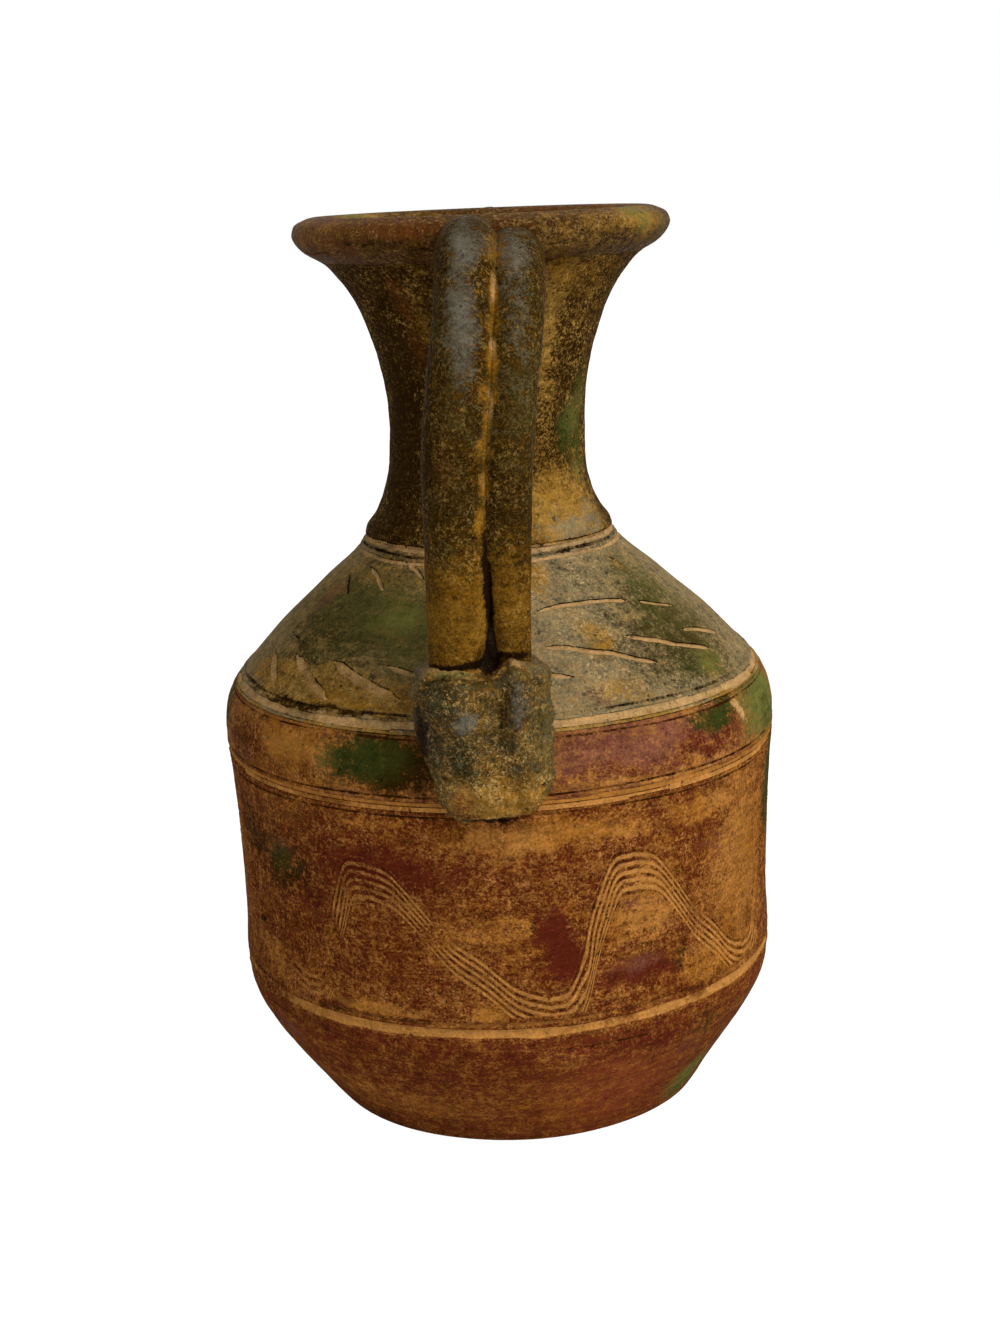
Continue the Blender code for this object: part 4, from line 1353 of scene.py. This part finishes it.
def pad_points(front):
    """Hoops of points from the middle of the pad's front, over its edge, to the middle of its back."""
    edge = np.array(PAD_EDGE) - PAD_MIDDLE
    bearing = np.unwrap(np.arctan2(edge[:, 0], edge[:, 1]))
    order = np.concatenate([bearing - math.tau, bearing, bearing + math.tau])
    turn = np.linspace(0.0, math.tau, PAD_SPOKES, endpoint=False) + bearing[0]
    far = smooth_curve(turn, order, np.tile(np.hypot(edge[:, 0], edge[:, 1]), 3))
    ahead = np.linspace(0.0, 1.0, FRONT_HOOPS) ** FRONT_CROWD
    share = np.concatenate([ahead, np.linspace(1.0, 0.0, BACK_HOOPS)[1:] ** BACK_CROWD])[:, None]
    is_front = np.arange(len(share))[:, None] < FRONT_HOOPS
    across = PAD_MIDDLE[0] + share * (far * np.sin(turn))
    up = PAD_MIDDLE[1] + share * (far * np.cos(turn))
    curl = CURL * np.exp(-(((share - CURL_PLACE) / CURL_WIDTH) ** 2)) * np.clip((up - CURL_FROM) / CURL_SPAN, 0, 1)
    rise = (hills(across, up) + curl) * np.sqrt(np.clip(1 - share**FRONT_ROUND, 0, 1))
    depth = BACK + BACK_MORE * np.clip((up - BACK_FROM) / BACK_SPAN, 0, 1)
    behind = -depth * np.sqrt(np.clip(1 - share**BACK_ROUND, 0, 1))
    out = np.sqrt(PAD_SEAT**2 - across**2) + np.where(is_front, rise, behind)
    return np.stack([front * across, -front * out, up], -1) * MM


print("pad", len(PAD_EDGE), "places on its edge,", len(SWELLINGS), "swellings")

# %% [markdown]
# The hoops are joined to a closed skin, and a web of clay that was pushed up between the coils is added. Three sizes of
# noise give it the unevenness of pressed clay. It reads the same places on both handles, so that they match.

# %% Pressing the pad
# The web: place across, out and up, and half sizes, in millimetres.
WEB_PLACE = (-2.4, 96.5, 188.0)
WEB_SIZE = (5.0, 6.0, 20.0)
PAD_LUMPS = ((120.0, 0.0015), (280.0, 0.0012), (700.0, 0.0005))  # Noise scale, and height in metres.


def pad(name, front, paint):
    """The pad of the front handle (1) or of the rear one (-1)."""
    points = pad_points(front)
    faces = []
    for i in range(len(points) - 1):
        for j in range(PAD_SPOKES):
            ends = (j, (j + 1) % PAD_SPOKES)
            low, high = ([hoop * PAD_SPOKES + end for end in ends] for hoop in (i, i + 1))
            faces.append((*low, *reversed(high)))
    mesh = point_mesh(name, points.reshape(-1, 3), faces=faces)
    work = bmesh.new()
    work.from_mesh(mesh)
    bmesh.ops.remove_doubles(work, verts=work.verts, dist=1e-5)
    web = bmesh.ops.create_icosphere(work, subdivisions=4, radius=MM)["verts"]
    bmesh.ops.scale(work, vec=WEB_SIZE, verts=web)
    bmesh.ops.translate(work, vec=Vector((front * WEB_PLACE[0], -front * WEB_PLACE[1], WEB_PLACE[2])) * MM, verts=web)
    bmesh.ops.recalc_face_normals(work, faces=work.faces)
    for vertex, normal in [(vertex, vertex.normal.copy()) for vertex in work.verts]:
        at = vertex.co * front
        vertex.co += normal * sum(noise.noise(at * scale) * size for scale, size in PAD_LUMPS)
    work.to_mesh(mesh)
    work.free()
    mesh.shade_smooth()
    mesh.materials.append(paint)
    print(name, len(mesh.vertices), "points")
    return add_object(name, mesh)


# %% [markdown]
# ## The handles' colours
#
# The coils are dark umber, worn to amber and tan in short dabs along the groove between them, with a painted
# sheen of slate on the arch, and painted shadow down the gap between them, along the thick coil's left edge and
# above the pad. The pad is green, with slate and painted highlights where it swells, ochre where the thumb rubbed
# its tongue, a painted highlight along its top edge, and painted shadow at its edges, in its creases and under its
# tongue. One even colour would hide the rolling and pressing, so dabs follow the forms. A degree is nearly two
# millimetres out here, so the dabs are narrow and their edges less ragged.

# %% Coil paint
coil_paint = painted(
    "coil_paint",
    (HONEY, AMBER),
    (
        (UMBER, 0.82, (
            (-3, 196, 16, 26, -0.4), (-1.8, 228, 1.0, 5, -0.5), (-1.2, 239, 0.9, 5, -0.62),
            (-1.0, 249, 1.4, 4, -0.42), (-0.3, 257, 0.9, 5, -0.62), (0.1, 266, 1.5, 4, -0.45),
            (0.9, 275, 0.9, 6, -0.66), (1.4, 286, 1.5, 4, -0.42), (1.9, 295, 1.0, 6, -0.6), (2.8, 307, 2.6, 5, -0.4),
        )),
        (RUST, 0.12, ((-7, 246, 2.5, 16, 0.2), (3, 238, 3, 12, 0.15))),
        (OLIVE, 0.24, ((6, 270, 5, 34, 0.14), (-5, 274, 3, 30, 0.12), (0, 194, 14, 22, -0.24))),
        # Painted sheen on the upper coils and arch, over a thin slate all over.
        (SLATE_AND_SHEEN, 0.1, (
            (-3.4, 288, 3.0, 24, 0.5), (5.5, 290, 3.4, 26, 0.25), (-2.4, 310, 4.5, 7, 0.36), (6.4, 307, 4, 6, 0.3),
            (0, 194, 14, 24, -0.1),
        )),
        (TAN, 0.0, (
            (-1.3, 240, 0.6, 5, 0.4), (0.2, 262, 0.7, 6, 0.5), (1.1, 279, 0.8, 5, 0.56), (2.0, 297, 0.9, 6, 0.5),
        )),
        # Painted shadow: down the gap between the coils, along the thick coil's left edge, and just above the pad's top
        # edge.
        (SOOT_AND_SHADOW, 0.0, (
            (-0.9, 206, 0.9, 22, 1.1), (0.2, 240, 0.5, 18, 0.5), (-9.5, 265, 1.2, 50, 0.4), (-7, 181.6, 8, 1.6, 0.9),
            (3.4, 184.4, 4, 1.6, 0.8), (-1.6, 184, 3, 5, 0.7),
        )),
    ),
    fleck=colour(150, 118, 58), flecks=0.65, soft=0.54, roughness=0.4, relief=0.0007, ragged=0.32,
    scored_lines=False,
)  # fmt: skip

# %% Pad paint
pad_paint = painted(
    "pad_paint",
    (STRAW, HONEY),
    (
        (UMBER, 0.62, (
            (-10, 172, 3.4, 8, 0.2), (2.8, 169, 2.2, 9, 0.2), (-12, 156, 2.4, 8, 0.35), (-6.7, 152, 2.6, 7, 0.25),
            (-1, 149, 2.6, 6, -0.1), (-1, 138, 5, 7, -0.5), (5, 138, 3, 7, -0.4), (-6.8, 139, 3, 6, -0.25),
            (-2, 180, 8, 3, -0.35),
        )),
        (OLIVE, 0.36, ((-1, 138, 8, 8, -0.36), (7.5, 160, 2.4, 18, 0.2), (-1, 150, 3, 6, -0.2))),
        (GREEN, 0.1, (
            (-1, 138, 9, 8, -0.1), (-10, 171, 3.4, 8, 0.3), (-6.7, 152, 2.6, 8, 0.35), (-1.4, 151, 1.2, 3, 0.4),
        )),
        (RUST, 0.0, ((-6.8, 138, 2.8, 7, 0.6), (-1, 133.5, 6, 2.4, 0.3))),
        # The first two tan dabs are a painted highlight along the pad's curled top edge.
        (TAN, 0.0, (
            (-8, 181, 5, 1.3, 0.6), (3.4, 183, 3, 1.3, 0.6), (7.6, 150, 0.8, 12, 0.35), (-1, 140, 2, 3, 0.3),
        )),
        # Slate over the pad, with painted highlights on the left swelling and the right ridge.
        (SLATE_AND_SHEEN, 0.22, ((-5.6, 165, 2.6, 4.6, 0.36), (2.8, 168, 1.7, 9, 0.3), (-1, 138, 9, 10, -0.24))),
        (LEAF, 0.0, ((-8, 180, 5, 2.2, 0.5), (3.5, 180, 3, 3, 0.3))),
        # All but the last dark dab are painted shadow: on the web between the coils, under the tongue, along the left
        # edge, and in the creases beside the right ridge.
        (SOOT_AND_SHADOW, 0.0, (
            (-1.3, 190, 3, 13, 1.6), (-1.5, 131.2, 5, 1.8, 1.3), (-14, 158, 2.0, 12, 0.8), (0.4, 166, 1.2, 9, 0.42),
            (5.6, 162, 1.1, 10, 0.36), (7.0, 142, 0.9, 1.4, 0.7),
        )),
    ),
    fleck=colour(180, 150, 94), flecks=1.0, soft=0.4, roughness=0.38, gloss=0.05, relief=0.0012, ragged=0.25,
    scored_lines=False,
)  # fmt: skip

# %% [markdown]
# ## The two handles
#
# The second handle stands opposite the first, behind the neck. It could be a mirrored copy, but a negative scale turns
# a mesh inside out, so it is made the same way with its points turned half round.

# %% The two handles
handles = {}
for word, front in (("front", 1), ("rear", -1)):
    handles[word + "_handle_left_coil"] = coil(word + "_thick_coil", "thick", front, coil_paint)
    handles[word + "_handle_right_coil"] = coil(word + "_thin_coil", "thin", front, coil_paint)
    handles[word + "_handle_pad"] = pad(word + "_pressed_pad", front, pad_paint)

# %% [markdown]
# ## Dressing the frame
#
# Every piece replaces its CAD node and rides on the one body.

# %% Dressing the frame
dressed = {
    "lower_bowl": (foot, "foot_clay"),
    "belly_wall": (belly, "belly_clay"),
    "shoulder_band": (band, "band_clay"),
    "shoulder_cone": (shoulder, "shoulder_clay"),
    "neck": (neck, "neck_clay"),
    "rim_lip": (lip, "rim_clay"),
}
dressed.update({node: (obj, "handle_clay") for node, obj in handles.items()})
for node, (obj, slot) in dressed.items():
    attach(obj, "root")
    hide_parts(node)
print(len(dressed), "pieces dressed")

# %% [markdown]
# ## Floor and light
#
# The photograph shows the vase on plain white. Strong lamps could bleach the floor, but they would bleach the vase
# too. So the floor and the world show the camera white, and light the vase at a plain level. One large soft lamp
# stands at the right and a weak one at the left.

# %% Floor
FLOOR_HALF = 6.0
FLOOR_TONE = (0.8, 0.8, 0.8, 1.0)
FLOOR_GLOW, GLOW_SHARE = 1.25, 0.8
WHITE = (1.0, 1.0, 1.0, 1.0)
floor_mesh = bpy.data.meshes.new("floor")
work = bmesh.new()
bmesh.ops.create_grid(work, x_segments=1, y_segments=1, size=FLOOR_HALF)
work.to_mesh(floor_mesh)
work.free()
floor = add_object("floor", floor_mesh)
pale_floor = bpy.data.materials.new("pale_floor")
pale_floor.use_nodes = True
tree = pale_floor.node_tree
matt = tree.nodes["Principled BSDF"]
matt.inputs["Base Color"].default_value = FLOOR_TONE
matt.inputs["Roughness"].default_value = 0.9
glow = put(tree, "ShaderNodeEmission", {"Strength": FLOOR_GLOW}).outputs[0]
seen = calc(tree, "MULTIPLY", put(tree, "ShaderNodeLightPath").outputs["Is Camera Ray"], GLOW_SHARE)
mixed = put(tree, "ShaderNodeMixShader", {0: seen, 1: matt.outputs[0], 2: glow}).outputs[0]
tree.links.new(mixed, tree.nodes["Material Output"].inputs["Surface"])
floor_mesh.materials.append(pale_floor)
print("floor", 2 * FLOOR_HALF, "m wide")

# %% Light
SKY_LIGHT = 0.46
AIM = Vector((0.0, 0.0, 0.16))
world = bpy.data.worlds.new("studio")
world.use_nodes = True
tree = world.node_tree
soft = tree.nodes["Background"]
soft.inputs["Color"].default_value = WHITE
soft.inputs["Strength"].default_value = SKY_LIGHT
white = put(tree, "ShaderNodeBackground", {"Color": WHITE, "Strength": 1.0}).outputs[0]
rays = put(tree, "ShaderNodeLightPath").outputs
mirrored = calc(tree, "MAXIMUM", rays["Is Glossy Ray"], rays["Is Transmission Ray"])
seen = calc(tree, "MAXIMUM", rays["Is Camera Ray"], mirrored)
sky = put(tree, "ShaderNodeMixShader", {0: seen, 1: soft.outputs[0], 2: white}).outputs[0]
tree.links.new(sky, tree.nodes["World Output"].inputs["Surface"])
scene.world = world


def area_light(name, place, size, power):
    """A soft square lamp at a place, aimed at the middle of the vase."""
    data = bpy.data.lights.new(name, "AREA")
    data.size = size
    data.energy = power
    lamp = add_object(name, data)
    lamp.location = place
    lamp.rotation_euler = (AIM - Vector(place)).to_track_quat("-Z", "Y").to_euler()
    print(name, "lamp of", power, "W")


area_light("key", (1.0, -1.05, 1.3), 0.9, 28.0)
area_light("fill", (-1.4, -1.0, 0.8), 1.2, 1.0)
scene.view_settings.view_transform = "Standard"
